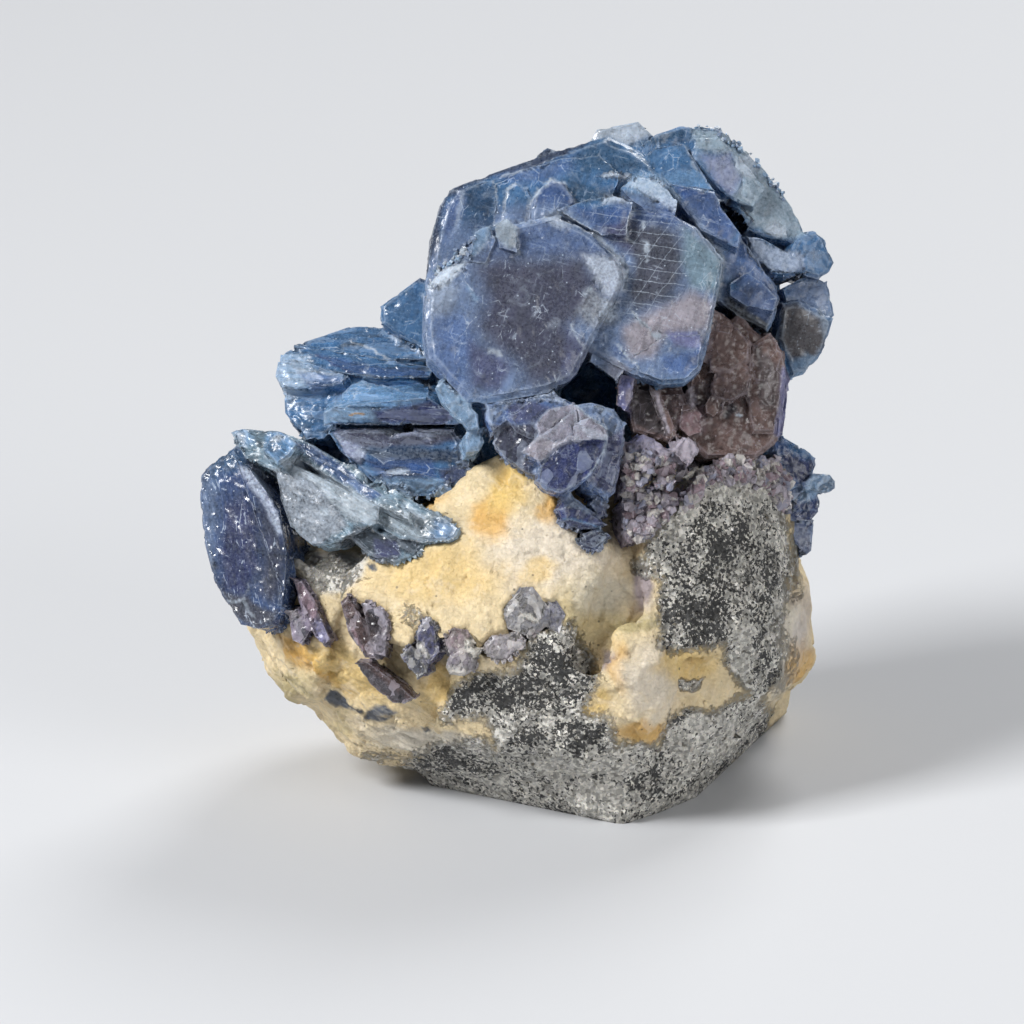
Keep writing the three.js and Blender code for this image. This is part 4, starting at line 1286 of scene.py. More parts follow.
@dataclass
class Crystals:
    """One group of crystals that grew into each other."""

    node: str
    finish: CrystalFinish
    tone: Tone
    marks: tuple[Mark, ...] = ()
    partings: tuple[Mark, ...] = ()
    fine: float = 0.4
    coarse: float = 0.9
    border: float = 0.0
    seam: float = 0.32
    grain_turn: float = 0.0
    grain_stretch: float = 1.0
    facet: float = 1.4
    tilt: float = 0.12
    step: float = 0.08
    ledge: float = 0.06
    chip: float = 0.18
    rim_width: float = 0.45
    frost: float = 0.1

    def build(self, elders: Neighbours, material: bpy.types.Material) -> bpy.types.Object:
        """Makes the group's piece.

        Args:
            elders: The crystals that this group gives way to.
            material: Its material.

        Returns:
            The piece.
        """
        skin = Skin(self.node, self.allowed, 0)
        paint = Paint.of(skin.places, self.tone, self.marks, 1.0)
        frost = np.clip(self.frost + paint.frost, 0, 1)
        marks = {
            "tint": paint.colour,
            "frost": frost,
            "parting": self.parting(skin.places),
            # rim: pale sharp edges, partly frost and partly painted light through the thin edges, with the
            # marks' pale outlines.
            "rim": np.maximum(self.rim(skin), paint.line),
        }
        skin.raise_by(self.relief(skin, frost) + paint.height)
        skin.close_gap(elders)
        made = skin.piece(self.node + "_crystal", marks, 16.0)
        declare(made, self.node, self.finish.slot, material)
        return made

    def allowed(self, middles: np.ndarray) -> np.ndarray:
        """The longest edge that may stay: short in front, and shortest along sharp borders.

        Args:
            middles: The middles of edges in the good side's frame, N by 3.

        Returns:
            Millimetres, one number per edge.
        """
        scale = 1.0
        longest = np.where(middles[:, 1] < self.border, self.fine, self.coarse) * scale
        for mark in self.marks:
            longest = np.where(mark.border(middles) < SEAM_REACH, self.seam, longest)
        return longest

    def rim(self, skin: Skin) -> np.ndarray:
        """1 on a sharp edge, 0 from the rim's width inward."""
        uneven = 1 + 0.7 * Noise.lumps(skin.places, 1.1, 5)
        return np.clip(1 - skin.from_edge / (self.rim_width * uneven), 0, 1)

    def parting(self, places: np.ndarray) -> np.ndarray:
        """How clearly each point shows parting lines."""
        total = np.zeros(len(places))
        for mark in self.partings:
            total = np.maximum(total, mark.cover(places))
        return total

    def relief(self, skin: Skin, frost: np.ndarray) -> np.ndarray:
        """The height of the crystals' own surface: flat patches, ledges and chipped edges.

        Args:
            skin: The group's fine copy.
            frost: How frosted each point is.

        Returns:
            Millimetres outward, one number per point.
        """
        turn = math.radians(self.grain_turn)
        way = np.array([math.cos(turn), 0.0, math.sin(turn)])
        along = skin.places @ way
        pattern = skin.places - np.outer(along * (1 - 1 / self.grain_stretch), way)
        height = Noise.facets(pattern, self.facet, self.tilt, self.step, 31)
        height += Noise.facets(pattern, self.facet * 0.45, self.tilt, self.step * 0.5, 37) * 0.7
        height *= 0.3 + 0.7 * smooth_step(skin.from_edge, 0.0, 0.5)
        height += frost * 0.08 * Noise.rough(skin.places, 0.7, 39)
        middle, _ = Noise.blocks(skin.places, 1.1, 41)
        block = Noise.scatter(np.round(middle * 1000), 43)
        ledges = skin.from_edge + 0.9 * (block - 0.5)
        for start in (0.45, 1.3, 2.6):
            height -= self.ledge * (1 - smooth_step(ledges, start, start + 0.12))
        chipped = (skin.from_edge < 0.9) & (block > 0.62)
        return height - self.chip * chipped


@dataclass
class MatrixRock:
    """The lump of feldspar and gneiss that the crystals grew on."""

    finish: RockFinish
    node: str = "matrix_rock"
    fine: float = 0.5
    coarse: float = 0.95
    border: float = -3.0

    def tints(self) -> tuple[Mark, ...]:
        """The feldspar's colours."""
        return (
            *behind(
                6.0,
                Wash(Tone.AMBER, -8.0, 30.0, 10.0, 5.0, turn=20.0, strength=0.7),
                Wash(Tone.OCHRE, 14.0, 24.0, 5.0, 3.0, strength=0.5),
                Wash(Tone.STONE_WHITE, 4.0, 18.0, 9.0, 5.0, turn=-15.0),
            ),
            Wash(Tone.WHITE_CREAM, 4.5, 33.5, 9.0, 4.5, until=40.0),
            Wash(Tone.OCHRE, -2.8, 38.2, 2.0, 3.2, turn=-20, strength=0.75),
            Wash(Tone.AMBER, -1.0, 41.5, 2.6, 3.0),
            Wash(Tone.OCHRE, 4.8, 39.0, 1.2, 2.0, strength=0.7),
            Wash(Tone.AMBER, -9.0, 31.0, 8.0, 3.5, strength=0.55),
            Wash(Tone.AMBER, 2.5, 31.0, 2.0, 1.6, strength=0.6),
            Wash(Tone.OCHRE, -12.5, 39.5, 4.0, 1.4, strength=0.7),
            Patch(Tone.STONE_WHITE, (-28, 36, -24, 33.5, -18, 33, -18.5, 30.5, -21, 28.5, -24, 28.5, -27,
                  32)),
            Wash(Tone.OCHRE, -25.0, 19.6, 5.5, 0.9, turn=-36, strength=0.8),
            Wash(Tone.AMBER, -21.0, 19.0, 6.0, 2.2, turn=-36, strength=0.7),
            Wash(Tone.OLIVE, -27.0, 17.0, 2.6, 1.6, strength=0.7),
            Wash(Tone.OLIVE, -21.0, 12.0, 1.5, 1.3, strength=0.5),
            Wash(Tone.AMBER, -9.5, 17.0, 2.4, 3.0, strength=0.7),
            Wash(Tone.STONE_WHITE, -9.0, 9.5, 9.0, 1.8, turn=-14, strength=0.7),
            Wash(Tone.OLIVE, 10.0, 26.0, 4.0, 4.5, strength=0.55),
            Wash(Tone.STONE_WHITE, 11.0, 28.0, 3.5, 2.5, strength=0.5),
            Wash(Tone.OCHRE, 13.2, 19.0, 0.9, 3.2, strength=0.6),
            Wash(Tone.WHITE_CREAM, 16.8, 17.5, 3.4, 4.5),
            Wash(Tone.OCHRE, 16.0, 11.2, 3.6, 1.4, strength=0.7),
            Wash(Tone.AMBER, 21.5, 19.5, 4.0, 2.0, strength=0.7),
            Wash(Tone.OLIVE, 15.6, 24.5, 2.6, 1.1, strength=0.8),
            Wash(Tone.OCHRE, 3.0, 11.5, 1.4, 1.2, strength=0.8),
            Wash(Tone.AMBER, 10.0, 14.5, 1.8, 1.8, strength=0.8),
            Wash(Tone.STONE_WHITE, 33.5, 22.0, 3.0, 6.5, strength=0.7),
            Wash(Tone.OCHRE, 36.5, 18.5, 1.8, 3.2, strength=0.65),
            Wash(Tone.ROSE_GREY, 36.5, 25.0, 1.6, 4.5, strength=0.4),
            Wash(Tone.VIOLET_GREY, 16.0, 29.0, 1.6, 2.6, strength=0.8),
            Wash(Tone.VIOLET_GREY, 11.8, 20.3, 1.0, 1.2, strength=0.8),
            Patch(Tone.SLATE, (-23.4, 15.4, -22.4, 16, -20.6, 15.2, -18.4, 14.1, -18.6, 13.5, -21.5,
                  14.2), 0.15),
            Patch(Tone.SLATE, (-17.8, 14.2, -16, 14.6, -14, 13.6, -16.6, 12.3, -18.5, 12.9), 0.15),
            Patch(Tone.SLATE, (-11.3, 11.8, -10.4, 11.9, -9.9, 11.3, -10.6, 11.2), 0.12),
            Patch(Tone.SLATE, (-18, 32.1, -17, 32.2, -16.7, 31.3, -17.6, 31.2), 0.12),
            Trace(Tone.SLATE, (-23.9, 29.9, -23.4, 29.2), 0.16),
            Trace(Tone.SLATE, (-21.5, 30.1, -21.0, 30.2), 0.16),
        )

    def gneiss_marks(self) -> tuple[Mark, ...]:
        """Where the rock is gneiss."""
        tone = Tone.STONE_GREY
        boulder = (
            20.3, 44.5, 24, 46.5, 28, 45.5, 33, 45, 34.6, 40, 35.4, 34, 34.6, 28, 33.2, 22, 33.5, 17,
            30, 14, 27.5, 17.5, 26.5, 21.5, 18.2, 22, 17.8, 26.5, 18.4, 30, 16, 33, 18, 37, 21, 40,
        )
        belly = (
            -8, 15.5, -6, 17.5, 0, 19, 2, 23.5, 6.5, 24.5, 9.5, 22, 10.5, 18.5, 8.7, 14, 12, 12.5, 13, 10.2,
            18, 9.5, 19.5, 13.5, 22, 13.9, 26, 13.2, 31.5, 17, 33, 10, 26, 4, 20, -4, 12, -6, 3, -4, -12, 2,
            -15, 6, -12, 8.5, -6, 10.3, -2, 9.8, -3.5, 12, -8, 13,
        )
        return (
            Patch(tone, boulder, 2.0, until=30.0),
            Patch(tone, belly, 2.0, until=30.0),
            Patch(tone, (20.8, 18, 23.6, 18.8, 22.8, 16.6, 21, 16.8), 0.5),
            Wash(tone, -23.0, 31.0, 5.0, 2.5, strength=0.42),
            Wash(tone, -26.5, 34.5, 3.0, 1.2, turn=-45, strength=0.45),
            Wash(tone, 16.0, 32.0, 1.6, 1.6, strength=0.7),
            Wash(tone, 33.5, 20.0, 3.0, 5.0, strength=0.4),
            Wash(tone, -17.0, 8.0, 3.0, 1.0, strength=0.5),
            Wash(tone, -13.0, 25.0, 2.0, 1.5, strength=0.35),
            *behind(-6.0, Wash(tone, 0.0, 0.0, 60.0, 4.0, strength=0.6)),
            *behind(
                9.0,
                Wash(tone, -12.0, 26.0, 7.0, 4.0, turn=25.0, strength=0.8),
                Wash(tone, 12.0, 31.0, 6.0, 5.0, turn=-30.0, strength=0.8),
                Wash(tone, 3.0, 15.0, 12.0, 3.0, strength=0.7),
            ),
        )

    def pepper_marks(self) -> tuple[Mark, ...]:
        """Where the gneiss is darker. It is half dark elsewhere."""
        tone = Tone.NEAR_BLACK
        return (
            Wash(tone, 23.5, 27.0, 5.0, 4.5),
            Wash(tone, 31.0, 30.0, 2.0, 3.0),
            Wash(tone, 25.0, 35.0, 4.0, 3.0, strength=0.5),
            Wash(tone, 2.0, 17.5, 9.0, 4.5, strength=0.7),
            Patch(tone, (-7.5, 16.5, 2, 17, 4, 14.5, -7, 13.6), 0.8),
            Patch(tone, (0, 10.4, 8, 9, 12, 11, 9, 12.4, 3, 12), 0.6),
            Patch(tone, (13, 4.5, 15.5, 6.8, 18.6, 6.6, 19.5, 4, 15, 2.2), 0.6),
            Patch(tone, (29.6, 24, 31, 24, 31.2, 19, 30, 18.6), 0.5),
            Wash(tone, -8.0, 7.5, 5.5, 1.2, turn=-8),
            Wash(tone, 20.0, 13.0, 2.5, 1.0),
            Wash(tone, 33.5, 18.5, 3.0, 1.2, turn=40),
            *behind(4.0, Wash(tone, 0.0, 30.0, 80.0, 60.0, strength=0.5)),
        )

    def pale_marks(self) -> tuple[Mark, ...]:
        """Where the gneiss is paler."""
        tone = Tone.ICE
        return (
            Wash(tone, 27.0, 43.5, 7.5, 2.8),
            Wash(tone, 21.0, 38.5, 2.0, 4.0, turn=-20),
            Wash(tone, 29.0, 21.0, 1.0, 4.0),
            Wash(tone, 12.0, 3.0, 5.0, 1.6),
            Wash(tone, 8.0, 6.6, 7.0, 1.0),
            Wash(tone, 24.0, 9.0, 4.0, 2.0, strength=0.6),
            Wash(tone, -3.0, 11.0, 3.0, 0.8),
        )

    def build(self, elders: Neighbours, material: bpy.types.Material) -> bpy.types.Object:
        """Makes the rock's piece.

        Args:
            elders: The crystals, which the rock gives way to.
            material: Its material.

        Returns:
            The piece.
        """
        skin = Skin(self.node, self.allowed, 9)
        standing = np.array([height_above_ground(place) for place in skin.places])
        skin.free *= smooth_step(standing, 0.1, 1.5)
        paint = Paint.of(skin.places, Tone.CREAM, self.tints(), 1.5)
        gneiss = self.covered(skin.places, self.gneiss_marks())
        dark = self.covered(skin.places, self.pepper_marks())
        pale = self.covered(skin.places, self.pale_marks())
        bands = self.covered(skin.places, (Wash(Tone.CREAM, -20.0, 13.0, 16.0, 8.0, turn=-25),))
        marks = {
            "tint": paint.colour,
            "gneiss": gneiss,
            "pepper": np.clip(0.5 + 0.5 * dark - 0.6 * pale, 0, 1),
            "bands": bands,
        }
        skin.raise_by(self.relief(skin, gneiss, bands))
        skin.close_gap(elders)
        made = skin.piece(self.node + "_stone", marks, 40.0)
        declare(made, self.node, self.finish.slot, material)
        return made

    def allowed(self, middles: np.ndarray) -> np.ndarray:
        """The longest edge that may stay, for the middles of edges, N by 3."""
        scale = 1.0
        return np.where(middles[:, 1] < self.border, self.fine, self.coarse) * scale

    def covered(self, places: np.ndarray, marks: tuple[Mark, ...]) -> np.ndarray:
        """How much some marks cover each point, their colour left aside."""
        stray = np.stack([Noise.rough(places, 4.0, seed) for seed in (71, 72, 73)], axis=1)
        total = np.zeros(len(places))
        for mark in marks:
            total = np.maximum(total, mark.cover(places + stray * 1.4))
        return total

    def relief(self, skin: Skin, gneiss: np.ndarray, bands: np.ndarray) -> np.ndarray:
        """The rock's broken surface: lumps and steps in the feldspar, grains in the gneiss.

        Args:
            skin: The rock's fine copy.
            gneiss: How much of each point is gneiss.
            bands: How clearly each point is layered.

        Returns:
            Millimetres outward, one number per point.
        """
        places = skin.places
        turn = math.radians(-30.0)
        way = np.array([math.cos(turn), 0.0, math.sin(turn)])
        layered = places - np.outer(places @ way * 0.8, way)
        feldspar = Noise.facets(places, 3.2, 0.14, 0.2, 81) + 0.14 * Noise.rough(places, 1.3, 83)
        feldspar += bands * (0.5 * Noise.rough(layered, 1.6, 84) + Noise.facets(layered, 1.5, 0.2, 0.2, 85))
        grains = 0.34 * Noise.rough(places, 1.5, 87) + Noise.facets(places, 0.9, 0.3, 0.14, 89)
        broad = 0.5 * Noise.rough(places, 6.0, 91)
        return broad + feldspar * (1 - gneiss) + (grains + 0.4 * feldspar) * gneiss


@dataclass
class Crumbs:
    """Small crystals and broken bits that sit on one of the nodes, joined in one piece."""

    name: str
    node: str
    finish: CrystalFinish
    tones: tuple[Tone, ...]
    area: tuple[float, ...]
    count: int
    smallest: float
    largest: float
    flat: float = 0.7
    seed: int = 1

    def build(self, material: bpy.types.Material) -> bpy.types.Object:
        """Makes the piece.

        Args:
            material: Its material.

        Returns:
            The piece.
        """
        luck = random.Random(self.seed)
        ground = Neighbours((self.node,))
        work = bmesh.new()
        colours: list[tuple[float, float, float]] = []
        area = Patch(Tone.ICE, self.area)
        low, high = area.outline().min(axis=0), area.outline().max(axis=0)
        made = 0
        for _ in range(self.count * 20):
            x = luck.uniform(low[0], high[0])
            h = luck.uniform(low[1], high[1])
            if made == self.count:
                break
            if area.inside(np.array([[x, 0.0, h]]))[0] < 0:
                continue
            seen = ground.seen_at(x, h)
            if seen is None:
                continue
            made += 1
            count = self._add(work, luck, *seen)
            tone = luck.choice(self.tones)
            colours.extend([tone.linear] * count)
        bmesh.ops.transform(work, matrix=to_good_side().inverted(), verts=work.verts)
        mesh = bpy.data.meshes.new(self.name)
        work.to_mesh(mesh)
        work.free()
        add_mark(mesh, "tint", np.array(colours))
        for title, value in (("frost", 0.35), ("parting", 0.0), ("rim", 0.15)):
            add_mark(mesh, title, np.full(len(colours), value))
        piece = finished(self.name, mesh, 12.0)
        declare(piece, self.node, self.finish.slot, material)
        return piece

    def _add(self, work: bmesh.types.BMesh, luck: random.Random, spot: Vector, normal: Vector) -> int:
        """Adds one crumb: a short six-sided prism with knocked-off corners.

        Args:
            work: Where it is added.
            luck: The source of chance.
            spot: Where it sits.
            normal: The ground's normal there.

        Returns:
            How many points it has.
        """
        size = luck.uniform(self.smallest, self.largest)
        lean = Vector((luck.gauss(0, 0.6), luck.gauss(0, 0.6), luck.gauss(0, 0.6)))
        turn = (normal + lean).to_track_quat("Z", "Y").to_matrix().to_4x4()
        spin = Matrix.Rotation(luck.uniform(0, math.tau), 4, "Z")
        squash = Matrix.Diagonal((1.0, luck.uniform(0.6, 1.0), self.flat * luck.uniform(0.6, 1.3), 1.0))
        made = bmesh.ops.create_cone(
            work, cap_ends=True, segments=luck.choice((5, 6, 6)), radius1=size / 2,
            radius2=size * luck.uniform(0.25, 0.45), depth=size,
            matrix=Matrix.Translation(spot) @ turn @ spin @ squash,
        )
        for vert in made["verts"]:
            vert.co += Vector((luck.gauss(0, 0.08), luck.gauss(0, 0.08), luck.gauss(0, 0.08))) * size
        return len(made["verts"])


@dataclass
class Studio:
    """The pale floor, the soft lights and the camera."""

    middle: tuple[float, float, float] = (0.0, 0.0, 38.5)
    distance: float = 1.5
    frame_width: float = 0.128
    floor_size: float = 3.0

    def build(self) -> None:
        """Sets everything up."""
        self.floor()
        self.camera()
        self.light("key", (-0.72, -0.4, 0.74), 0.35, 14.0)
        self.light("fill", (0.75, -0.75, 0.5), 0.6, 4.5)
        self.light("back", (0.3, 0.6, 0.65), 0.4, 4.5)
        world = bpy.data.worlds.new("studio_air")
        bpy.context.scene.world = world
        world.use_nodes = True
        world.node_tree.nodes["Background"].inputs[0].default_value = (0.8, 0.82, 0.85, 1.0)
        world.node_tree.nodes["Background"].inputs[1].default_value = 0.18
        bpy.context.scene.view_settings.view_transform = "Standard"

    def floor(self) -> None:
        """Lays the pale floor."""
        sheet = bmesh.new()
        bmesh.ops.create_grid(sheet, x_segments=8, y_segments=8, size=self.floor_size)
        mesh = bpy.data.meshes.new("studio_floor")
        sheet.to_mesh(mesh)
        sheet.free()
        made = bpy.data.objects.new("studio_floor", mesh)
        bpy.context.scene.collection.objects.link(made)
        shader = Shader("studio_floor")
        shader.main.inputs["Base Color"].default_value = (0.58, 0.59, 0.61, 1.0)
        shader.main.inputs["Roughness"].default_value = 0.6
        mesh.materials.append(shader.material)

    def camera(self) -> None:
        """Puts the camera where the good side is seen as in its own frame."""
        data = bpy.data.cameras.new("studio_camera")
        data.sensor_width = 36.0
        data.lens = 36.0 * self.distance / self.frame_width
        data.clip_end = 20.0
        made = bpy.data.objects.new("studio_camera", data)
        bpy.context.scene.collection.objects.link(made)
        aim = seen_from_good_side(*self.middle)
        x, d, h = self.middle
        made.location = seen_from_good_side(x, d - self.distance / MM, h)
        made.rotation_euler = (aim - made.location).to_track_quat("-Z", "Y").to_euler()
        bpy.context.scene.camera = made

    def light(self, name: str, at: tuple[float, float, float], size: float, power: float) -> None:
        """Adds a soft square light that faces the specimen.

        Args:
            name: Its name.
            at: Where it hangs, in metres.
            size: How wide it is.
            power: Its power in watts.
        """
        data = bpy.data.lights.new(name + "_light", "AREA")
        data.shape = "SQUARE"
        data.size = size
        data.energy = power
        made = bpy.data.objects.new(name + "_light", data)
        bpy.context.scene.collection.objects.link(made)
        made.location = at
        way = Vector((0.0, 0.0, 0.04)) - Vector(at)
        made.rotation_euler = way.to_track_quat("-Z", "Y").to_euler()


BLUE = CrystalFinish("blue_sapphire", "blue_sapphire")
BROKEN_BLUE = CrystalFinish("broken_blue_sapphire", "blue_sapphire", block=1.3, patchy=0.45, gleam=0.18)
BLADE = CrystalFinish(
    "grained_blue_sapphire", "blue_sapphire", grain_turn=-35.0, grain_squeeze=5.0, streak=0.8, block=1.0,
    patchy=0.4, gleam=0.12,
)
STACKED = CrystalFinish(
    "stacked_blue_sapphire", "blue_sapphire", grain_turn=-6.0, grain_squeeze=4.0, streak=0.5, block=1.3,
    patchy=0.4, gleam=0.1,
)
SILKY = CrystalFinish(
    "silky_blue_sapphire", "blue_sapphire", grain_turn=105.0, grain_squeeze=6.0, streak=0.6, block=1.6,
    patchy=0.12, veils=0.1, rim=0.2, depth=-0.04, roughness=0.1, relief=0.025,
)
BROWN = CrystalFinish(
    "brown_sapphire", "brown_sapphire", pale=Tone.ROSE_GREY, veils=0.25, depth=0.24, patchy=0.2
)
VIOLET = CrystalFinish(
    "violet_sapphire", "violet_sapphire", pale=Tone.ROSE_GREY, block=0.9, gleam=0.4, patchy=0.8, depth=0.3
)
GREY = CrystalFinish(
    "grey_crystal", "grey_crystal", pale=Tone.STONE_WHITE, block=0.9, gleam=0.35, patchy=0.8
)


def back_plate_marks() -> tuple[Mark, ...]:
    """The crown's back plate, teal with a navy rim and outlined hillocks."""
    return (
        Patch(Tone.PETROL, (-8, 78, -5.6, 72.5, -2.4, 74, -2.2, 79, -5.5, 79.6), 1.0),
        Patch(Tone.DEEP_FOG, (-9.4, 70, -8.4, 76.5, -6.2, 79, -5.8, 77, -6.8, 73, -5.8, 71, -8, 68.5),
              0.8),
        Patch(Tone.NAVY, (-9.2, 67.5, -8.8, 74, -8.2, 77.5, -9.5, 78, -12.5, 67), 0.5),
        Patch(Tone.NAVY, (-8.5, 77.6, -3, 80, 2, 81.2, 7, 83.3, 9.6, 84.3, 9, 85.5, 2, 83, -8, 80.5),
              0.4),
        Patch(Tone.MID_BLUE, (-2, 80.2, 3, 81.5, 8.5, 83, 9.2, 82, 5.5, 80, 0.5, 79.2), 0.8, 0.8),
        Patch(Tone.STEEL, (-1.1, 75, -0.5, 78.6, 0.6, 79.2, 2.2, 78, 1.8, 74), 0.3, 0.8, raised=0.2,
              edge=0.9),
        Patch(Tone.SLATE_BLUE, (2.1, 76.2, 2.9, 78, 4.8, 79.8, 6.6, 79.2, 8.1, 76.8, 5.8, 75.6, 2, 74),
              0.2, raised=0.25, edge=1.0),
        Patch(Tone.DEEP_TEAL, (6.5, 79.8, 10, 78.8, 15, 77.6, 14, 77, 8.5, 77, 7, 79), 0.5),
        Patch(Tone.DEEP_TEAL, (9.5, 84, 12, 85.2, 14, 83.6, 16.5, 82, 15.5, 80.6, 9, 80.8, 7, 82), 0.7,
              0.9),
        Trace(Tone.ICE, (-2.3, 74, -1.7, 77, -2.3, 79.6), 0.12, 0.7),
        Trace(Tone.ICE, (-1.2, 75, -0.6, 78.6, 0.4, 79.2), 0.14),
        Trace(Tone.ICE, (2.1, 76.4, 2.9, 78.1, 4.8, 79.8, 6.5, 79.2, 8.1, 76.8), 0.14),
        Trace(Tone.ICE, (-6.9, 72.5, -6.6, 75.5, -6.0, 78.2), 0.3, 0.5),
        Trace(Tone.ICE, (-1.2, 80.2, 1.2, 81.0), 0.2, 0.7),
        Wash(Tone.ICE, 13.0, 80.1, 1.8, 0.35, frost=1.0, soft=0.3),
        Wash(Tone.PALE_BLUE, 16.5, 78.9, 2.6, 1.5, soft=0.3),
        Patch(Tone.PALE_BLUE, (14.2, 79, 15.5, 80, 18.3, 79.8, 21, 77.6, 20.3, 75.5, 18, 77), 0.3,
              frost=0.7),
        Trace(Tone.INK_BLUE, (14, 78.1, 17.5, 77.2, 20, 76.0), 0.2, 0.7),
        Trace(Tone.ICE, (14, 84.1, 16.5, 82.4, 17.4, 80.6), 0.14, 0.6),
    )


def right_lobe_marks() -> tuple[Mark, ...]:
    """The crown's right side: pale granular lobes, a slit and a crack."""
    return (
        Patch(Tone.ICE, (9.4, 84.6, 10.1, 86.6, 16, 87.6, 18, 85.8, 14, 84.1, 12, 85.4), 0.3,
              beyond=-4.0),
        Patch(Tone.DEEP_TEAL, (14, 84, 17.5, 84.2, 22, 85.6, 22, 86.2, 17.8, 85.6), 0.3),
        Patch(Tone.STEEL, (16.6, 83.8, 21.9, 84.1, 22.9, 81.2, 20.2, 81.2, 17.4, 80.6), 0.3, edge=0.5),
        Patch(Tone.SKY, (18.5, 80.4, 22.5, 81.2, 24.5, 80, 25.4, 78.1, 20.6, 79.2), 0.3, 0.85, edge=0.4),
        Patch(Tone.ROYAL, (20.2, 79.2, 25.3, 78.2, 26.6, 76.9, 28, 73.6, 26.6, 71.4, 24.6, 72.3, 21.6,
              76.2), 0.5, 0.9),
        Patch(Tone.MID_BLUE, (22.6, 77.8, 25.6, 77, 28.2, 73.6, 26.6, 71.6, 25.4, 74.6), 0.4, 0.6,
              edge=0.4),
        Patch(Tone.LILAC, (23.8, 82.6, 27.2, 83.4, 28.6, 80, 27.4, 77.6, 25.5, 79.2), 0.8, 0.8,
              frost=0.3),
        Patch(Tone.ASH_BLUE, (22.5, 86.6, 28, 85.6, 36, 76.5, 36.6, 73, 33, 72.6, 30, 74.2, 27.6, 77.6,
              28.8, 80, 27.4, 83.2, 23, 83.6), 0.6, frost=0.35),
        Wash(Tone.ICE, 29.3, 81.8, 1.5, 1.3, turn=-50, strength=0.7, frost=0.9),
        Wash(Tone.ICE, 32.7, 73.6, 1.1, 0.8, strength=0.8, frost=0.9),
        Patch(Tone.MID_BLUE, (26.4, 70.4, 28.6, 73.4, 30.6, 70, 33, 67.4, 31.6, 65.8, 28, 66.4, 26.1, 69),
              0.5, 0.9),
        Patch(Tone.DEEP_FOG, (25.9, 65.8, 28.5, 66.4, 33, 67.2, 33.4, 64.4, 32.2, 62, 30.2, 62, 28, 64),
              0.5),
        Patch(Tone.FOG_BLUE, (28.9, 73.4, 32, 71.6, 36.3, 70.6, 36.4, 68.8, 34.5, 68, 31.4, 68.6, 29.7,
              70.6), 0.3, edge=0.7, frost=0.5),
        Patch(Tone.STEEL, (36.4, 74, 39.6, 72, 40.4, 69, 38.4, 68, 36.6, 70), 0.4, 0.9, edge=0.6),
        Patch(Tone.FOG_BLUE, (34, 67.6, 39.6, 67.8, 40.2, 63, 38, 63.4, 34.5, 65), 0.9),
        Patch(Tone.SMOKE, (33, 64.6, 35.5, 64.8, 38.6, 62.4, 39.4, 59.6, 38, 57.6, 34.6, 57.4, 33, 60),
              0.7),
        Patch(Tone.PALE_BLUE, (34.4, 57.2, 36.5, 58.2, 38.6, 57.6, 37, 55, 34.6, 55), 0.3, 0.8),
        Trace(Tone.ICE, (38.2, 63.6, 39.2, 62, 39.0, 60.6), 0.4, 0.6),
        Patch(Tone.NEAR_BLACK, (25.4, 65.9, 26.4, 65.4, 32, 61.8, 31.2, 60.4, 28.4, 61.6, 25.2, 64), 0.25),
        # Painted shade: the sunken slit is drawn black where light does not reach into it.
        Patch(Tone.NEAR_BLACK, (26.2, 77, 27.2, 77.1, 28.9, 75, 29.4, 74.2, 28.6, 73.5, 27.8, 75.2), 0.15,
              raised=-0.8),
        # Painted shade in the sunken crack.
        Trace(Tone.NEAR_BLACK, (28.7, 74, 29.3, 71, 30.6, 69.2, 32, 68.2, 34.5, 67.9, 37.2, 68.1), 0.13,
              raised=-0.3),
        Trace(Tone.ICE, (26.6, 77.2, 25.8, 77.0, 27.8, 74.6), 0.12, 0.7),
        Trace(Tone.ICE, (21.8, 84.0, 22.9, 81.4, 25.2, 78.6), 0.12, 0.6),
        Trace(Tone.INK_BLUE, (22.4, 83, 23.3, 81), 0.16, 0.8),
    )


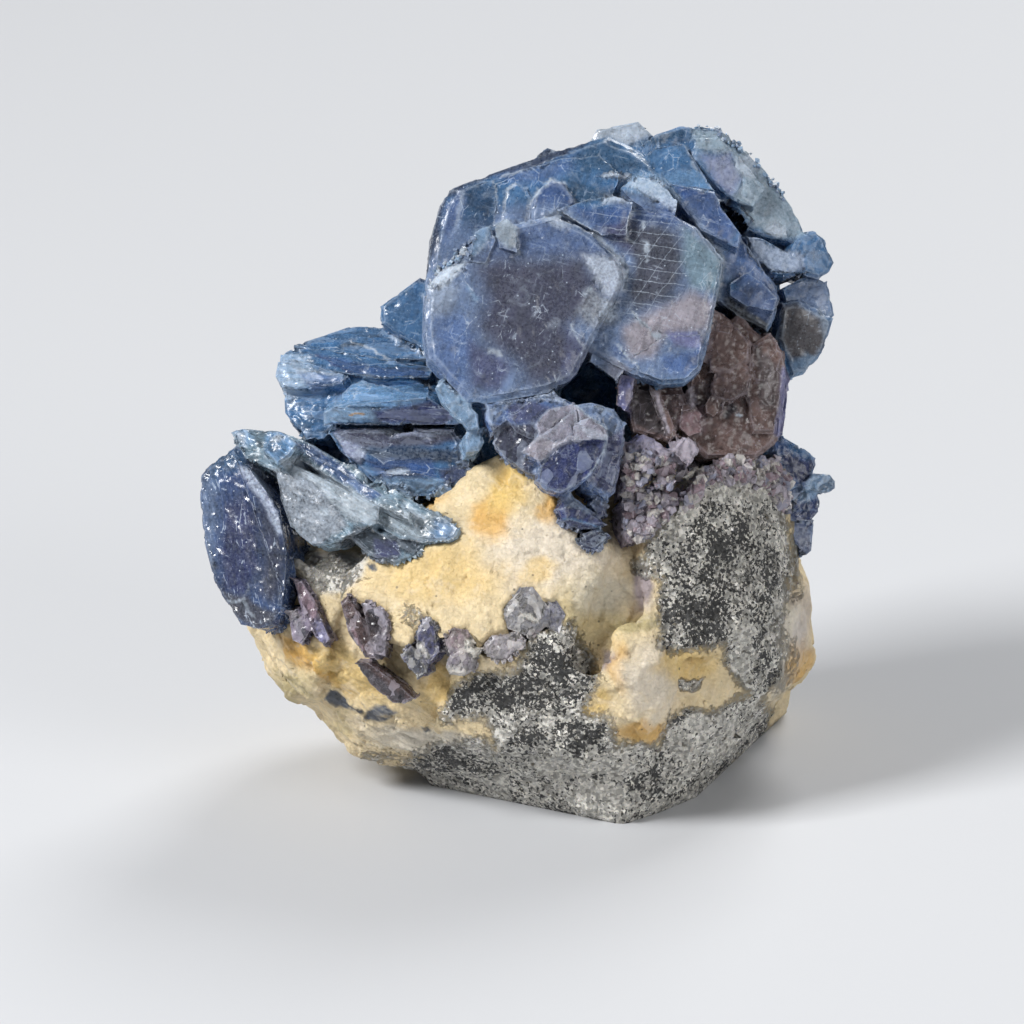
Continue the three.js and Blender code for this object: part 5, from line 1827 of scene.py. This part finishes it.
def front_right_plate_marks() -> tuple[Mark, ...]:
    """The crown's front right plate, dark above and cloudy below."""
    above = ending_at(
        -8.0,
        Patch(Tone.FOG_BLUE, (12, 78, 22, 77, 27, 70, 25, 55, 12, 54, 9, 57, 10, 64, 14, 69), 1.0),
        Patch(Tone.SLATE_BLUE, (6, 76.3, 15, 76.2, 21.5, 76.3, 22.5, 74.4, 14.5, 72.6, 10.4, 72.6), 0.8),
        Patch(Tone.SLATE_VIOLET, (9.6, 73.4, 14.4, 74.6, 14.8, 72.2, 16.6, 70, 13.4, 70.2), 0.5),
        Patch(Tone.UMBER_GREY, (14.2, 74.6, 17.6, 74.2, 20.4, 73, 21.4, 70, 20.4, 66.2, 18.8, 64.2, 15.4,
              63.2, 13.6, 64.8, 14.4, 68.6), 1.4),
        Patch(Tone.ASH_BLUE, (21.4, 73.6, 26.2, 70.2, 25.6, 65.6, 22, 66.4, 21, 69.8), 0.7),
        Patch(Tone.ROSE_GREY, (13.4, 61.4, 18.8, 64, 22.4, 66, 25, 64.4, 24.4, 61, 19, 60.4, 17.4, 57.6,
              14.4, 57.6), 0.9),
        Patch(Tone.LILAC, (19, 60.9, 24.1, 60.4, 23.4, 58.7, 20, 58.8), 0.4),
        Patch(Tone.MID_BLUE, (18.6, 57.6, 23.2, 58.6, 24.1, 59.6, 23.2, 56.6, 21, 55.4, 18.8, 56), 0.5),
        Patch(Tone.ROYAL, (21.6, 57.6, 23.4, 58.5, 23.5, 57.2, 22, 56.8), 0.5, 0.8),
        Patch(Tone.DEEP_FOG, (10.2, 60.8, 13.6, 58.8, 14.4, 57.4, 12, 57.6, 9.6, 57.4), 0.3, edge=0.8),
        Patch(Tone.FOG, (9.6, 57.2, 12.2, 57.8, 14.6, 56, 12.8, 54.4), 0.25, edge=0.6),
    )
    chip = Patch(Tone.ICE, (11, 76.6, 14.6, 76.8, 15.2, 76.2, 13.4, 77.8, 11.6, 77.9), 0.3, 0.6, frost=0.6)
    below = ending_at(
        -8.0,
        Wash(Tone.UMBER_GREY, 11.6, 63.4, 1.5, 1.4, frost=0.6),
        Trace(Tone.ICE, (15.2, 76.2, 14.3, 74.4, 14.4, 72.4, 15.2, 71.8), 0.12),
        Trace(Tone.ICE, (14.9, 63.2, 16.6, 61.4, 17.8, 59.9), 0.14),
        Trace(Tone.ICE, (13.0, 59.2, 14.5, 57.5, 15.5, 56.4), 0.12),
        Trace(Tone.ICE, (16.2, 72.2, 16.7, 69.4), 0.1, 0.7),
        Trace(Tone.ICE, (22.0, 74.6, 26.3, 70.2, 25.7, 66, 24.6, 61), 0.16, 0.6),
        Trace(Tone.ROSE_GREY, (18.2, 61.0, 22, 60.9, 24.2, 60.4), 0.12, 0.6),
        Wash(Tone.ICE, 16.5, 71.6, 0.35, 0.5, soft=0.2),
        Wash(Tone.ICE, 15.9, 74.1, 0.3, 0.4, soft=0.2),
        Wash(Tone.ICE, 17.6, 60.0, 0.6, 0.35, soft=0.2),
    )
    return above + (chip,) + below


def front_left_plate_marks() -> tuple[Mark, ...]:
    """The crown's front left plate, nearest to the viewer: fog blue round a dark core."""
    return ending_at(
        -12.0,
        Patch(Tone.FOG_BLUE, (-12, 68, -5, 76, 6, 77, 15, 70, 14, 63, 10, 52, -12, 52), 1.0),
        Patch(Tone.MID_BLUE, (-9.4, 64, -5.6, 62, -4.4, 58, -6, 53.5, -10, 55), 1.4, 0.8),
        Patch(Tone.DEEP_FOG, (1, 73.2, 5.6, 75.2, 13, 70.4, 9, 69.8, 1, 70.4, -4, 70), 0.8, 0.8),
        Patch(Tone.UMBER_VIOLET, (-4.6, 68.8, -2, 70, 9, 70, 10.6, 66.6, 10.2, 64, 7.2, 61.4, 8.8, 58.6,
              6.6, 54, 2.2, 54.4, 0.4, 57, -2.2, 58.4, -4.6, 61.2, -3.2, 64.4), 1.9),
        Patch(Tone.SMOKE, (9.6, 65.6, 13, 64.6, 12.4, 62, 10, 61, 8, 63.2), 0.7, 0.7, frost=0.5),
        Patch(Tone.SLATE_VIOLET, (-5.4, 59.6, -1.4, 57.6, 0, 56.4, -1.6, 53.4, -5, 54), 0.8, 0.9),
        Patch(Tone.SLATE_VIOLET, (7, 61, 9.6, 58.6, 9.6, 57, 7.2, 54.2, 6, 56), 0.6, 0.7),
        Patch(Tone.FOG, (8.8, 70.2, 13.2, 70.2, 14.3, 68.6, 13.6, 66, 12.5, 64.8, 11.2, 65.4, 10.2, 67.2),
              0.6, 0.85, frost=0.8),
        Patch(Tone.PALE_GREY, (-2.3, 74.3, -0.6, 74.8, 0.9, 73.4, 0.8, 71.4, -0.6, 71, -2, 72.4), 0.3,
              0.8, raised=0.25, edge=0.8),
        Patch(Tone.PALE_BLUE, (-4.6, 73.4, -2.4, 74.3, -2.6, 72.6, -4.4, 70.4, -5.4, 70), 0.3, 0.8,
              raised=0.15, edge=0.7),
        Patch(Tone.ICE, (-10.4, 66.4, -8, 68.8, -5.8, 69.5, -6.2, 68.4, -8.6, 66.3), 0.35, 0.9, frost=1.0,
              raised=0.2),
        Wash(Tone.ICE, -8.6, 65.0, 2.0, 2.2, strength=0.45),
        Wash(Tone.ICE, 5.5, 75.0, 1.8, 0.9, strength=0.5, frost=0.6),
        Trace(Tone.ICE, (5.6, 75.4, 9.4, 73.6, 13.2, 70.2, 14.4, 68.6, 13.8, 66), 0.2, 0.8),
        Trace(Tone.ICE, (0.2, 72.4, 0.6, 71.2, 0.9, 70.4), 0.16, 0.7),
        Trace(Tone.ICE, (7.2, 61.6, 7.8, 60.2, 9.2, 58.4), 0.1, 0.6),
        Trace(Tone.ICE, (-2.8, 58.5, -1.8, 58.2, -1.4, 57.8), 0.3, 0.8),
        Trace(Tone.PALE_BLUE, (-5.4, 66.2, -4.2, 64.6), 0.25, 0.6),
        Trace(Tone.ICE, (9, 65.4, 9.6, 65.9), 0.16),
    )


def rear_plate_marks() -> tuple[Mark, ...]:
    """The crown as seen from behind, guessed from its front: darker cores and paler rims."""
    cores = behind(
        8.0,
        Wash(Tone.SLATE_VIOLET, 1.0, 66.0, 8.0, 8.0),
        Wash(Tone.UMBER_VIOLET, 4.0, 64.0, 5.0, 4.0, strength=0.8),
    )
    plates = behind(
        6.0,
        Wash(Tone.DEEP_FOG, 16.0, 76.0, 9.0, 5.0, turn=-30.0),
        Wash(Tone.PALE_BLUE, -7.0, 75.0, 5.0, 6.0, strength=0.7),
        Wash(Tone.INDIGO, 21.0, 63.0, 8.0, 6.0, strength=0.7),
        Wash(Tone.FOG_BLUE, 12.0, 56.0, 7.0, 4.0, strength=0.8),
        Wash(Tone.ICE, 24.0, 72.0, 5.0, 3.0, turn=40.0, strength=0.4, frost=0.6),
    )
    return cores + plates


def crown() -> Crystals:
    """The big plates at the top."""
    marks = rear_plate_marks() + back_plate_marks() + right_lobe_marks() + front_right_plate_marks()
    return Crystals(
        "crown_plates", BLUE, Tone.STEEL, fine=0.66, coarse=1.4, border=1.0, seam=0.45, facet=2.4,
        tilt=0.04, step=0.04,
        marks=marks + front_left_plate_marks(),
        partings=(
            Patch(Tone.ICE, (9, 76, 21, 76, 22, 70, 21, 65, 18, 62.6, 13, 62.6, 14, 69), 0.8, until=-8.0),
            Patch(Tone.ICE, (-2, 73, 6, 75, 13, 70, 12, 66, 6, 68), 1.2, 0.3, until=-12.0),
            Patch(Tone.ICE, (18, 62, 25, 64, 24, 58, 16, 56), 1.2, 0.25, until=-8.0),
            Wash(Tone.ICE, 6.0, 66.0, 12.0, 8.0, until=99.0, beyond=8.0, strength=0.6),
        ),
    )


def left_stack() -> Crystals:
    """The stack of plates at the left."""
    return Crystals(
        "left_stack", STACKED, Tone.STEEL, grain_turn=-5.0, grain_stretch=5.0, facet=1.5, tilt=0.1,
        step=0.08, frost=0.1,
        marks=(
            Patch(Tone.PALE_BLUE, (-29.6, 58.6, -25.4, 58, -24, 55, -26.4, 53, -29.6, 52), 0.7,
                  frost=0.3),
            Patch(Tone.SLATE_BLUE, (-24.4, 58.2, -20, 57.2, -14, 56.4, -10.6, 56.6, -10.4, 55.4, -14,
                  55.4, -20, 55.8), 0.4, 0.8),
            Patch(Tone.SLATE_BLUE, (-26.8, 56, -22, 55.8, -20.8, 54.8, -24.6, 53.2), 0.3, 0.7, edge=0.6),
            Patch(Tone.SKY, (-21, 53.6, -18.8, 55.1, -14, 54.3, -9.6, 53, -12.8, 51.2, -19.6, 51, -23.6,
                  51.2), 0.3, edge=0.3),
            Patch(Tone.PALE_BLUE, (-23.5, 51.3, -19.4, 51.2, -13.4, 51.2, -13.6, 50.4, -19, 49.6, -23.4,
                  49.4), 0.3, 0.9),
            Patch(Tone.INDIGO, (-17.4, 50.9, -10, 52.2, -6.6, 50.6, -8.6, 49, -16.6, 49.6), 0.5),
            Patch(Tone.UMBER_VIOLET, (-22.4, 49, -16, 49.2, -6.6, 49.2, -6, 47.4, -10, 46.7, -17, 46.3,
                  -20.4, 46.4), 0.4),
            # Painted shade in a small sunken hollow.
            Patch(Tone.NEAR_BLACK, (-16.4, 48.9, -12.4, 49.2, -12, 48.5, -15.4, 48), 0.2, raised=-0.6),
            Patch(Tone.LILAC, (-22.2, 48.4, -19.6, 46.6, -18, 46.2, -18.8, 44.4, -20.8, 45.4), 0.4,
                  frost=0.6),
            Patch(Tone.INK_BLUE, (-19, 46.2, -13, 46.7, -6, 46.2, -4.8, 44.2, -9, 44.8, -16, 44.8), 0.4),
            Patch(Tone.ROYAL, (-18.6, 45.2, -10, 45, -9.4, 43, -16, 42.6), 0.5, 0.8),
            Patch(Tone.PALE_BLUE, (-16.4, 42.7, -9, 42.5, -7.8, 41.2, -8.2, 40.2, -15, 40.8), 0.35, 0.9,
                  edge=0.5),
            Patch(Tone.SLATE_VIOLET, (-9, 43.8, -4.8, 44.6, -5.4, 42.4, -8, 41.6), 0.4, 0.8),
            Wash(Tone.ICE, -14.0, 43.8, 1.4, 0.6, strength=0.8, frost=1.0),
            Wash(Tone.LILAC, -12.0, 47.8, 3.0, 0.5, strength=0.5, frost=0.7),
            # Painted shade: the dark slits between the plates.
            Trace(Tone.NEAR_BLACK, (-20.4, 55.8, -16, 55.3, -13, 55.1, -9.8, 54.4), 0.2, raised=-0.3),
            Trace(Tone.INDIGO, (-24.4, 58.0, -20, 55.9), 0.14, 0.7),
            Trace(Tone.ICE, (-20.2, 59.7, -17.4, 58.8, -15.2, 57.7), 0.12),
            Trace(Tone.ICE, (-26.8, 56.2, -22.4, 55.9), 0.14, 0.6),
            Trace(Tone.INK_BLUE, (-20, 56.9, -11, 56.3), 0.12, 0.6),
            Trace(Tone.OCHRE, (-19.9, 50.4, -18.4, 50.5), 0.14, 0.8),
        ),
    )


def left_blade() -> Crystals:
    """The long blade under the stack."""
    return Crystals(
        "left_blade", BLADE, Tone.ASH_BLUE, grain_turn=-35.0, grain_stretch=5.0, facet=1.2,
        tilt=0.12, step=0.07,
        marks=(
            Patch(Tone.PALE_BLUE, (-35.4, 48.8, -33.4, 49.2, -31.6, 47, -33.4, 46.6), 0.4),
            Wash(Tone.ICE, -33.9, 47.7, 0.8, 0.5, turn=-30, strength=0.9),
            Patch(Tone.SKY, (-30.6, 48.4, -28.4, 48.7, -26.8, 46.9, -27.1, 45.5, -29, 44.4, -30.6, 46),
                  0.4),
            Wash(Tone.ICE, -29.3, 47.4, 0.7, 0.5, strength=0.9),
            Patch(Tone.PALE_GREY, (-28.6, 44.9, -26.4, 45.3, -19.4, 41.2, -16.8, 39.8, -16.8, 37, -20,
                  37.4, -24, 41, -28.4, 44), 0.4, frost=0.25),
            Patch(Tone.SLATE_BLUE, (-27, 47.2, -24.4, 46.5, -16, 40.6, -17.4, 40, -21.4, 42.6, -25, 45),
                  0.3, 0.9),
            Patch(Tone.SLATE, (-29.6, 44, -24.6, 42.2, -21, 38.4, -20.4, 37, -23.6, 34.3, -26, 34.8, -28,
                  38.4, -29.6, 42.4), 0.4, frost=0.4),
            Trace(Tone.NEAR_BLACK, (-29.8, 43.4, -28.2, 38.6, -27.2, 36, -25.2, 33.8), 0.4),
            Patch(Tone.PALE_GREY, (-16.6, 39.6, -12, 38.6, -8.6, 37.9, -6.4, 36.8, -7.4, 35.2, -11, 35,
                  -13.6, 35.4, -16.8, 37), 0.3, 0.9),
            Patch(Tone.STEEL, (-9.4, 37.6, -6.4, 36.8, -7.4, 35.1, -10.4, 35), 0.6, 0.8),
            Patch(Tone.NEAR_BLACK, (-19.6, 36.9, -17.4, 36.6, -14, 35.3, -11, 35, -11.4, 33, -13.6, 33.4, -14.4,
                  31.8, -16.6, 31.8, -19, 33.8, -21.6, 34.2), 0.3, 0.85),
            Patch(Tone.SLATE_VIOLET, (-17, 35.3, -14.2, 34.8, -13.8, 33, -17, 32.4), 0.3, 0.9, edge=0.3),
            Trace(Tone.ICE, (-28, 44.4, -24.6, 42.6, -21, 39.6), 0.12, 0.5),
            Trace(Tone.ICE, (-16.8, 39.6, -16.4, 37.2), 0.12, 0.5),
            Wash(Tone.PALE_GREY, -23.2, 38.8, 0.9, 0.5, turn=-30, strength=0.7),
        ),
    )


def far_left_tablet() -> Crystals:
    """The deep blue tablet at the far left."""
    return Crystals(
        "far_left_tablet", SILKY, Tone.SLATE_BLUE, grain_turn=105.0, grain_stretch=5.0, facet=1.6,
        tilt=0.05, step=0.03,
        marks=(
            Patch(Tone.STEEL, (-39, 45.5, -36, 47, -33, 46, -32.6, 43.4, -34, 40.6, -37, 41.4), 1.2, 0.9),
            Patch(Tone.ROYAL, (-36.4, 43, -33.4, 43.8, -31.8, 41, -33, 37.6, -36.2, 38), 1.0),
            Patch(Tone.INDIGO, (-35.6, 39.6, -33, 40.4, -31.4, 38, -31.4, 32, -33, 28, -36, 29, -36.4,
                  34), 1.0),
            Patch(Tone.UMBER_VIOLET, (-32, 42.4, -30.4, 41, -28.8, 37, -28, 33, -28.4, 29, -29.6, 27.4,
                  -31.4, 28.4, -30.8, 34), 1.2, 0.9),
            Patch(Tone.FOG_BLUE, (-39.6, 43, -37.6, 44.6, -36.6, 41, -36.4, 38, -36.9, 34, -37, 30, -39,
                  33), 0.8, 0.9),
            Patch(Tone.DEEP_FOG, (-36.4, 44.4, -35.6, 44, -35.6, 37, -36.6, 33, -36.9, 40), 0.7, 0.6),
            Patch(Tone.LILAC, (-34, 44.4, -31, 43.8, -30, 41.2, -28.2, 36, -29, 35.8, -31.2, 40.4, -33.6,
                  43.2), 0.4, 0.9, frost=0.8),
            Patch(Tone.SMOKE, (-36, 28.8, -33, 28, -31, 26.6, -29, 26.4, -29.4, 24.8, -32, 24, -35, 25.8),
                  0.5, 0.8),
            Trace(Tone.ICE, (-35.6, 27.2, -34.2, 27.3, -33.4, 27.8, -32.9, 26.2, -32.2, 25.6), 0.2, 0.8),
            Trace(Tone.ICE, (-32.8, 29.9, -32.6, 29.0, -33.3, 28.2), 0.1, 0.6),
            Trace(Tone.ICE, (-38.6, 43.9, -36.2, 46.2, -34.2, 46.6), 0.16, 0.6),
        ),
    )


def front_cluster() -> Crystals:
    """The blocky cluster in the middle of the front."""
    return Crystals(
        "front_cluster", BROKEN_BLUE, Tone.MID_BLUE, facet=2.2, tilt=0.07, step=0.04,
        marks=(
            Patch(Tone.FOG_BLUE, (-4, 52.4, -2.8, 54, -1, 54.3, 0.6, 52.6, -1.4, 50.6, -2.6, 49), 0.25,
                  edge=0.7),
            Patch(Tone.DEEP_FOG, (-0.8, 52.4, 0.4, 56.8, 1.4, 57.2, 2.2, 54.2, 7.2, 53.8, 6.6, 51.8, 2.4,
                  52.4), 0.3, edge=0.5, frost=0.5),
            Patch(Tone.SLATE_VIOLET, (-0.4, 51.8, 2.4, 52.4, 4.6, 51.2, 2.8, 49.4, -0.4, 49.6), 0.4, 0.9),
            Patch(Tone.UMBER_VIOLET, (-2.8, 49.2, 2.8, 49.4, 3.3, 48, 1.4, 45.6, 3, 42.2, 0.4, 43.6, -2.4,
                  46.4), 0.3, edge=0.4),
            Patch(Tone.FOG_BLUE, (7.6, 52, 10.4, 52.4, 14, 50.8, 14.2, 49, 11.8, 47.4, 9, 50.6), 0.25,
                  edge=0.6),
            Patch(Tone.INDIGO, (4.6, 46.2, 8, 47.6, 11.6, 47.6, 11.3, 45.4, 9, 42.4, 6, 40.6, 3, 42.2,
                  3.3, 44.4), 0.3, edge=0.5),
            Patch(Tone.SLATE_VIOLET, (11.8, 47.6, 14.2, 49, 14.2, 42, 12.4, 40.6, 9.4, 42.4, 11.4, 45.4),
                  0.3, edge=0.4),
            Patch(Tone.ROSE_GREY, (3, 49.4, 4.4, 51, 7.6, 51.9, 9.2, 50.4, 11.6, 48.6, 11.8, 47.6, 5, 47,
                  3.3, 48), 0.2, 0.85, raised=0.4, edge=0.9),
            Patch(Tone.ROSE_GREY, (1.4, 45.8, 3.4, 48, 5.2, 46.9, 8.2, 47.6, 4.8, 46, 3.4, 44.5), 0.15,
                  0.95, raised=0.5, edge=0.8),
            Wash(Tone.ICE, -3.0, 53.2, 0.6, 0.9, turn=-30, strength=0.7),
            Wash(Tone.ICE, 9.8, 48.4, 1.8, 0.5, turn=-25, strength=0.4),
            Trace(Tone.ICE, (7.8, 51.8, 9.2, 50.5, 11.6, 48.7), 0.12),
            Trace(Tone.ICE, (11.7, 47.6, 11.4, 45.6, 9.2, 42.6), 0.12, 0.7),
        ),
    )


def brown_plates() -> Crystals:
    """The brownish layered plates under the crown's right side."""
    return Crystals(
        "brown_plates", BROWN, Tone.BROWN, facet=1.6, tilt=0.14, step=0.1,
        marks=(
            Patch(Tone.SMOKE, (14.4, 56, 17.6, 55.4, 18.6, 52, 19.6, 48, 17, 48.4, 14.8, 50), 0.3,
                  edge=0.3),
            Patch(Tone.DARK_BROWN, (19, 54.6, 23.4, 54.6, 23.6, 51.6, 21, 49.4, 19.4, 51), 0.4),
            Patch(Tone.BROWN, (24.4, 62, 28, 61.2, 30, 59.2, 29.4, 56, 26.6, 54.8, 24.4, 56.2), 0.3,
                  edge=0.6, raised=0.25),
            Patch(Tone.DARK_BROWN, (24.2, 52.8, 26.6, 54.2, 29.6, 54.6, 29.8, 51.6, 26.4, 50.8), 0.5,
                  0.8),
            Patch(Tone.SMOKE, (30.2, 59.4, 33.8, 56, 33.4, 51.6, 30.6, 51.8), 0.4, 0.8, edge=0.3),
            Patch(Tone.ROSE, (20.2, 50.2, 23.8, 51.6, 24, 48.4, 21, 48), 0.4, 0.6),
            Patch(Tone.LILAC, (12.7, 50.6, 13, 54.6, 14.2, 56.5, 15.2, 55, 14.8, 52, 14.4, 49.6), 0.25),
            Patch(Tone.LILAC, (33.6, 56.6, 35, 56, 34.6, 50, 33.6, 47.2, 32.6, 48.4, 33.3, 52), 0.3, 0.9),
            Patch(Tone.ROSE_GREY, (21.4, 54.2, 22.4, 54.2, 22.9, 51.8, 22.2, 51.4), 0.25, 0.7, frost=0.6),
            Trace(Tone.ROSE_GREY, (17.4, 55.2, 18.2, 52.4, 19.4, 48.4), 0.28),
            Trace(Tone.NEAR_BLACK, (26.6, 50.4, 27.4, 51.4), 0.5),
            Wash(Tone.ICE, 28.0, 50.8, 0.5, 0.3, soft=0.2),
            Wash(Tone.ROSE_GREY, 14.4, 52.8, 0.5, 1.2, strength=0.8),
        ),
    )


def purple_cluster() -> Crystals:
    """Violet-grey broken crystals where the crown meets the rock."""
    return Crystals(
        "purple_cluster", VIOLET, Tone.VIOLET_GREY, facet=1.0, tilt=0.28, step=0.2, frost=0.35,
        marks=(
            Patch(Tone.LILAC, (14, 48.4, 16.6, 48.6, 19.9, 46.4, 17, 45.4, 14.4, 45.8), 0.3, 0.8,
                  edge=0.6),
            Patch(Tone.FOG_BLUE, (14.4, 46.6, 17.4, 46, 16.6, 44.6, 14.6, 44.8), 0.25, 0.9, edge=0.5),
            Patch(Tone.ROSE, (17, 45, 19.9, 46, 18.5, 43.4, 15.8, 43.8), 0.3, 0.8),
            Patch(Tone.STONE_WHITE, (17, 41.8, 18.4, 43.6, 20.2, 44.8, 20.6, 42.4), 0.3, 0.8, frost=0.8),
            Patch(Tone.SLATE_VIOLET, (13.8, 44.6, 16.6, 43.6, 16.8, 42, 14, 41.6), 0.4, 0.7),
            Patch(Tone.ROSE, (14.2, 37, 17.6, 37.6, 18, 35, 14, 34), 0.5, 0.7, frost=0.6),
            Wash(Tone.ROSE_GREY, 15.0, 36.2, 1.2, 0.9, strength=0.7, frost=0.7),
            Wash(Tone.ROSE_GREY, 24.0, 46.5, 8.0, 2.0, strength=0.6, frost=0.8),
        ),
    )


def right_steps() -> Crystals:
    """Stepped blue crystals on the right edge."""
    return Crystals(
        "right_steps", BROKEN_BLUE, Tone.SLATE_BLUE, facet=1.2, tilt=0.08, step=0.08,
        marks=(
            Patch(Tone.STEEL, (33.4, 48.6, 35.5, 47.6, 38.2, 46, 37.6, 45, 35, 46.2), 0.4, edge=0.4),
            Patch(Tone.INDIGO, (34, 46.4, 36.2, 45, 38.4, 44.8, 36.4, 42.4, 34, 42.8), 0.3),
            Patch(Tone.PALE_BLUE, (36.4, 41.4, 37.4, 43.5, 39.6, 43.5, 40.8, 42.2, 39.6, 40.6, 38, 40.6,
                  37, 39.2, 35.8, 39.8), 0.35),
            Patch(Tone.INDIGO, (34, 39.8, 38.6, 39.8, 38.4, 37.2, 36, 35.6, 34.6, 36.4), 0.4, 0.8),
            Patch(Tone.SLATE_VIOLET, (35, 36, 37.6, 36, 37.4, 32.6, 35.6, 33.4), 0.5, 0.8, frost=0.3),
            Trace(Tone.PALE_BLUE, (34.2, 41.4, 36.4, 41.3), 0.16),
            Trace(Tone.PALE_BLUE, (34.4, 40.2, 36.2, 40.3), 0.14),
            Trace(Tone.FOG_BLUE, (34.8, 38.7, 38.4, 38.6), 0.14, 0.7),
            Trace(Tone.FOG_BLUE, (35, 37.1, 38.2, 37.2), 0.14, 0.7),
        ),
    )


def crystal_groups() -> tuple[Crystals, ...]:
    """Every group of crystals. Each gives way to those before it."""
    bead = (
        Wash(Tone.FOG_BLUE, 8.2, 39.6, 1.8, 0.8, strength=0.8, frost=0.4),
        Patch(Tone.NEAR_BLACK, (7.8, 36, 12.2, 36.4, 12, 34.4, 9.6, 33.6, 7.8, 34.8), 0.4, 0.7),
        Trace(Tone.SKY, (6.4, 37.6, 8.4, 37.2, 11, 36.4), 0.16, 0.7),
    )
    prisms = (
        Patch(Tone.GREY, (-19.6, 28.4, -17.6, 27.4, -15.6, 26.4, -15.2, 24, -17.6, 26, -19.4, 27.4), 0.3,
              0.8),
        Wash(Tone.NEAR_BLACK, -17.4, 24.8, 1.1, 1.0, strength=0.8),
        Wash(Tone.GREY, -16.2, 22.0, 0.9, 2.4, strength=0.6, frost=0.4),
        Trace(Tone.ROSE, (-19.6, 24, -18.4, 21.6), 0.3, 0.8),
        Trace(Tone.SLATE, (-18.6, 19, -13, 14.6), 0.6, 0.6),
    )
    flakes = (
        Patch(Tone.STONE_WHITE, (-29.4, 26.6, -27.4, 27.4, -26.6, 25.4, -28.6, 24.6), 0.4, 0.6,
              frost=0.8),
        Patch(Tone.SLATE, (-27.8, 25.8, -26.6, 25.6, -25, 22.6, -26, 22.4), 0.3, 0.8),
        Patch(Tone.ROSE, (-27.6, 31, -25.6, 29.6, -23.4, 26.4, -25, 25), 0.4, 0.7),
        Patch(Tone.LILAC, (-24.6, 25.2, -22.4, 24.6, -22.4, 22.4, -24, 22), 0.3, 0.8, frost=0.4),
    )
    round_marks = (
        Wash(Tone.UMBER_GREY, 2.2, 26.8, 0.9, 0.8, soft=0.15),
        Wash(Tone.STONE_WHITE, 2.2, 25.6, 1.4, 0.5, strength=0.8, frost=0.6),
        Wash(Tone.SLATE_VIOLET, 5.6, 25.8, 1.1, 2.0, strength=0.8),
        Wash(Tone.ROSE, 3.6, 23.6, 1.5, 0.8, strength=0.6),
    )
    twin_marks = (
        Patch(Tone.ROSE, (-8.4, 24.4, -5, 24.4, -4, 22.4, -6, 21, -8.4, 22), 0.5, 0.7),
        Patch(Tone.STONE_WHITE, (-5.8, 23, -4.4, 23, -3.4, 21, -4.6, 20.4, -5.8, 21.4), 0.2, 0.8,
              frost=0.8),
        Wash(Tone.STONE_WHITE, -7.0, 18.8, 1.8, 0.8, strength=0.5, frost=0.8),
    )
    platy_marks = (
        Patch(Tone.STONE_WHITE, (-12, 22.4, -11.4, 22.4, -10, 20.4, -10.6, 20.2), 0.2, 0.7, frost=0.6),
        Patch(Tone.SLATE, (-13.6, 21.4, -11.8, 21.6, -10.2, 18.6, -12, 17.6), 0.3, 0.8),
    )
    return (
        crown(),
        front_cluster(),
        brown_plates(),
        purple_cluster(),
        left_stack(),
        left_blade(),
        far_left_tablet(),
        Crystals("left_flakes", VIOLET, Tone.VIOLET_GREY, flakes),
        right_steps(),
        Crystals("small_blue_crystals", BROKEN_BLUE, Tone.INDIGO, bead),
        Crystals("pale_tongue", BLUE, Tone.PALE_BLUE),
        Crystals("grey_round_crystal", GREY, Tone.GREY, round_marks, frost=0.3),
        Crystals("grey_low_crystal", GREY, Tone.ROSE_GREY, frost=0.3),
        Crystals("grey_twin_crystal", GREY, Tone.VIOLET_GREY, twin_marks, frost=0.3),
        Crystals("grey_platy_crystal", GREY, Tone.SLATE_VIOLET, platy_marks),
        Crystals("dark_prisms", VIOLET, Tone.DARK_BROWN, prisms, grain_turn=-60.0, grain_stretch=3.0),
        Crystals("back_crystals", BLUE, Tone.STEEL),
    )


def crumb_groups() -> tuple[Crumbs, ...]:
    """The small crystals that are too fine for the solids."""
    violets = (Tone.ROSE, Tone.ROSE_GREY, Tone.ROSE_GREY, Tone.STONE_WHITE, Tone.STONE_WHITE, Tone.FOG)
    pales = (Tone.PALE_BLUE, Tone.FOG_BLUE, Tone.ICE)
    boulder_top = (
        19.5, 39.5, 20.5, 45, 26, 46, 32, 46, 34.6, 43, 34.4, 38.5, 32, 41, 28, 42.4, 24, 41.6, 21.5, 38.6,
    )
    cluster = (13.8, 45.5, 20, 46, 20, 39, 17.6, 35, 14, 35)
    left_rim = (-10.6, 66.2, -8, 68.8, -5.8, 69.6, -4.6, 72.4, -5.2, 72.6, -9.6, 68.6)
    top_rim = (21, 86.6, 25, 86.8, 30, 83.4, 36, 76, 35.4, 75.6, 29, 83, 24.6, 86)
    return (
        Crumbs("boulder_top_crumbs", "matrix_rock", VIOLET, violets, boulder_top, 330, 0.7, 1.9, seed=3),
        Crumbs("purple_crumbs", "purple_cluster", VIOLET, violets, cluster, 190, 0.6, 1.7, seed=4),
        Crumbs("crown_crumbs", "crown_plates", BLUE, pales, left_rim, 46, 0.4, 0.9, seed=5),
        Crumbs("crown_top_crumbs", "crown_plates", BLUE, pales, top_rim, 44, 0.3, 0.8, seed=6),
    )


def main() -> None:
    """Builds every piece in order, then the studio."""
    logging.basicConfig(level=logging.INFO, format="%(name)s: %(message)s")
    finishes = (BLUE, BROKEN_BLUE, BLADE, STACKED, SILKY, BROWN, VIOLET, GREY, RockFinish())
    materials = {finish.name: finish.material() for finish in finishes}
    before: list[str] = []
    for group in crystal_groups():
        group.build(Neighbours(before), materials[group.finish.name])
        before.append(group.node)
    MatrixRock(RockFinish()).build(Neighbours(before), materials[RockFinish().name])
    for crumbs in crumb_groups():
        crumbs.build(materials[crumbs.finish.name])
    Studio().build()


if __name__ == "__main__":
    main()
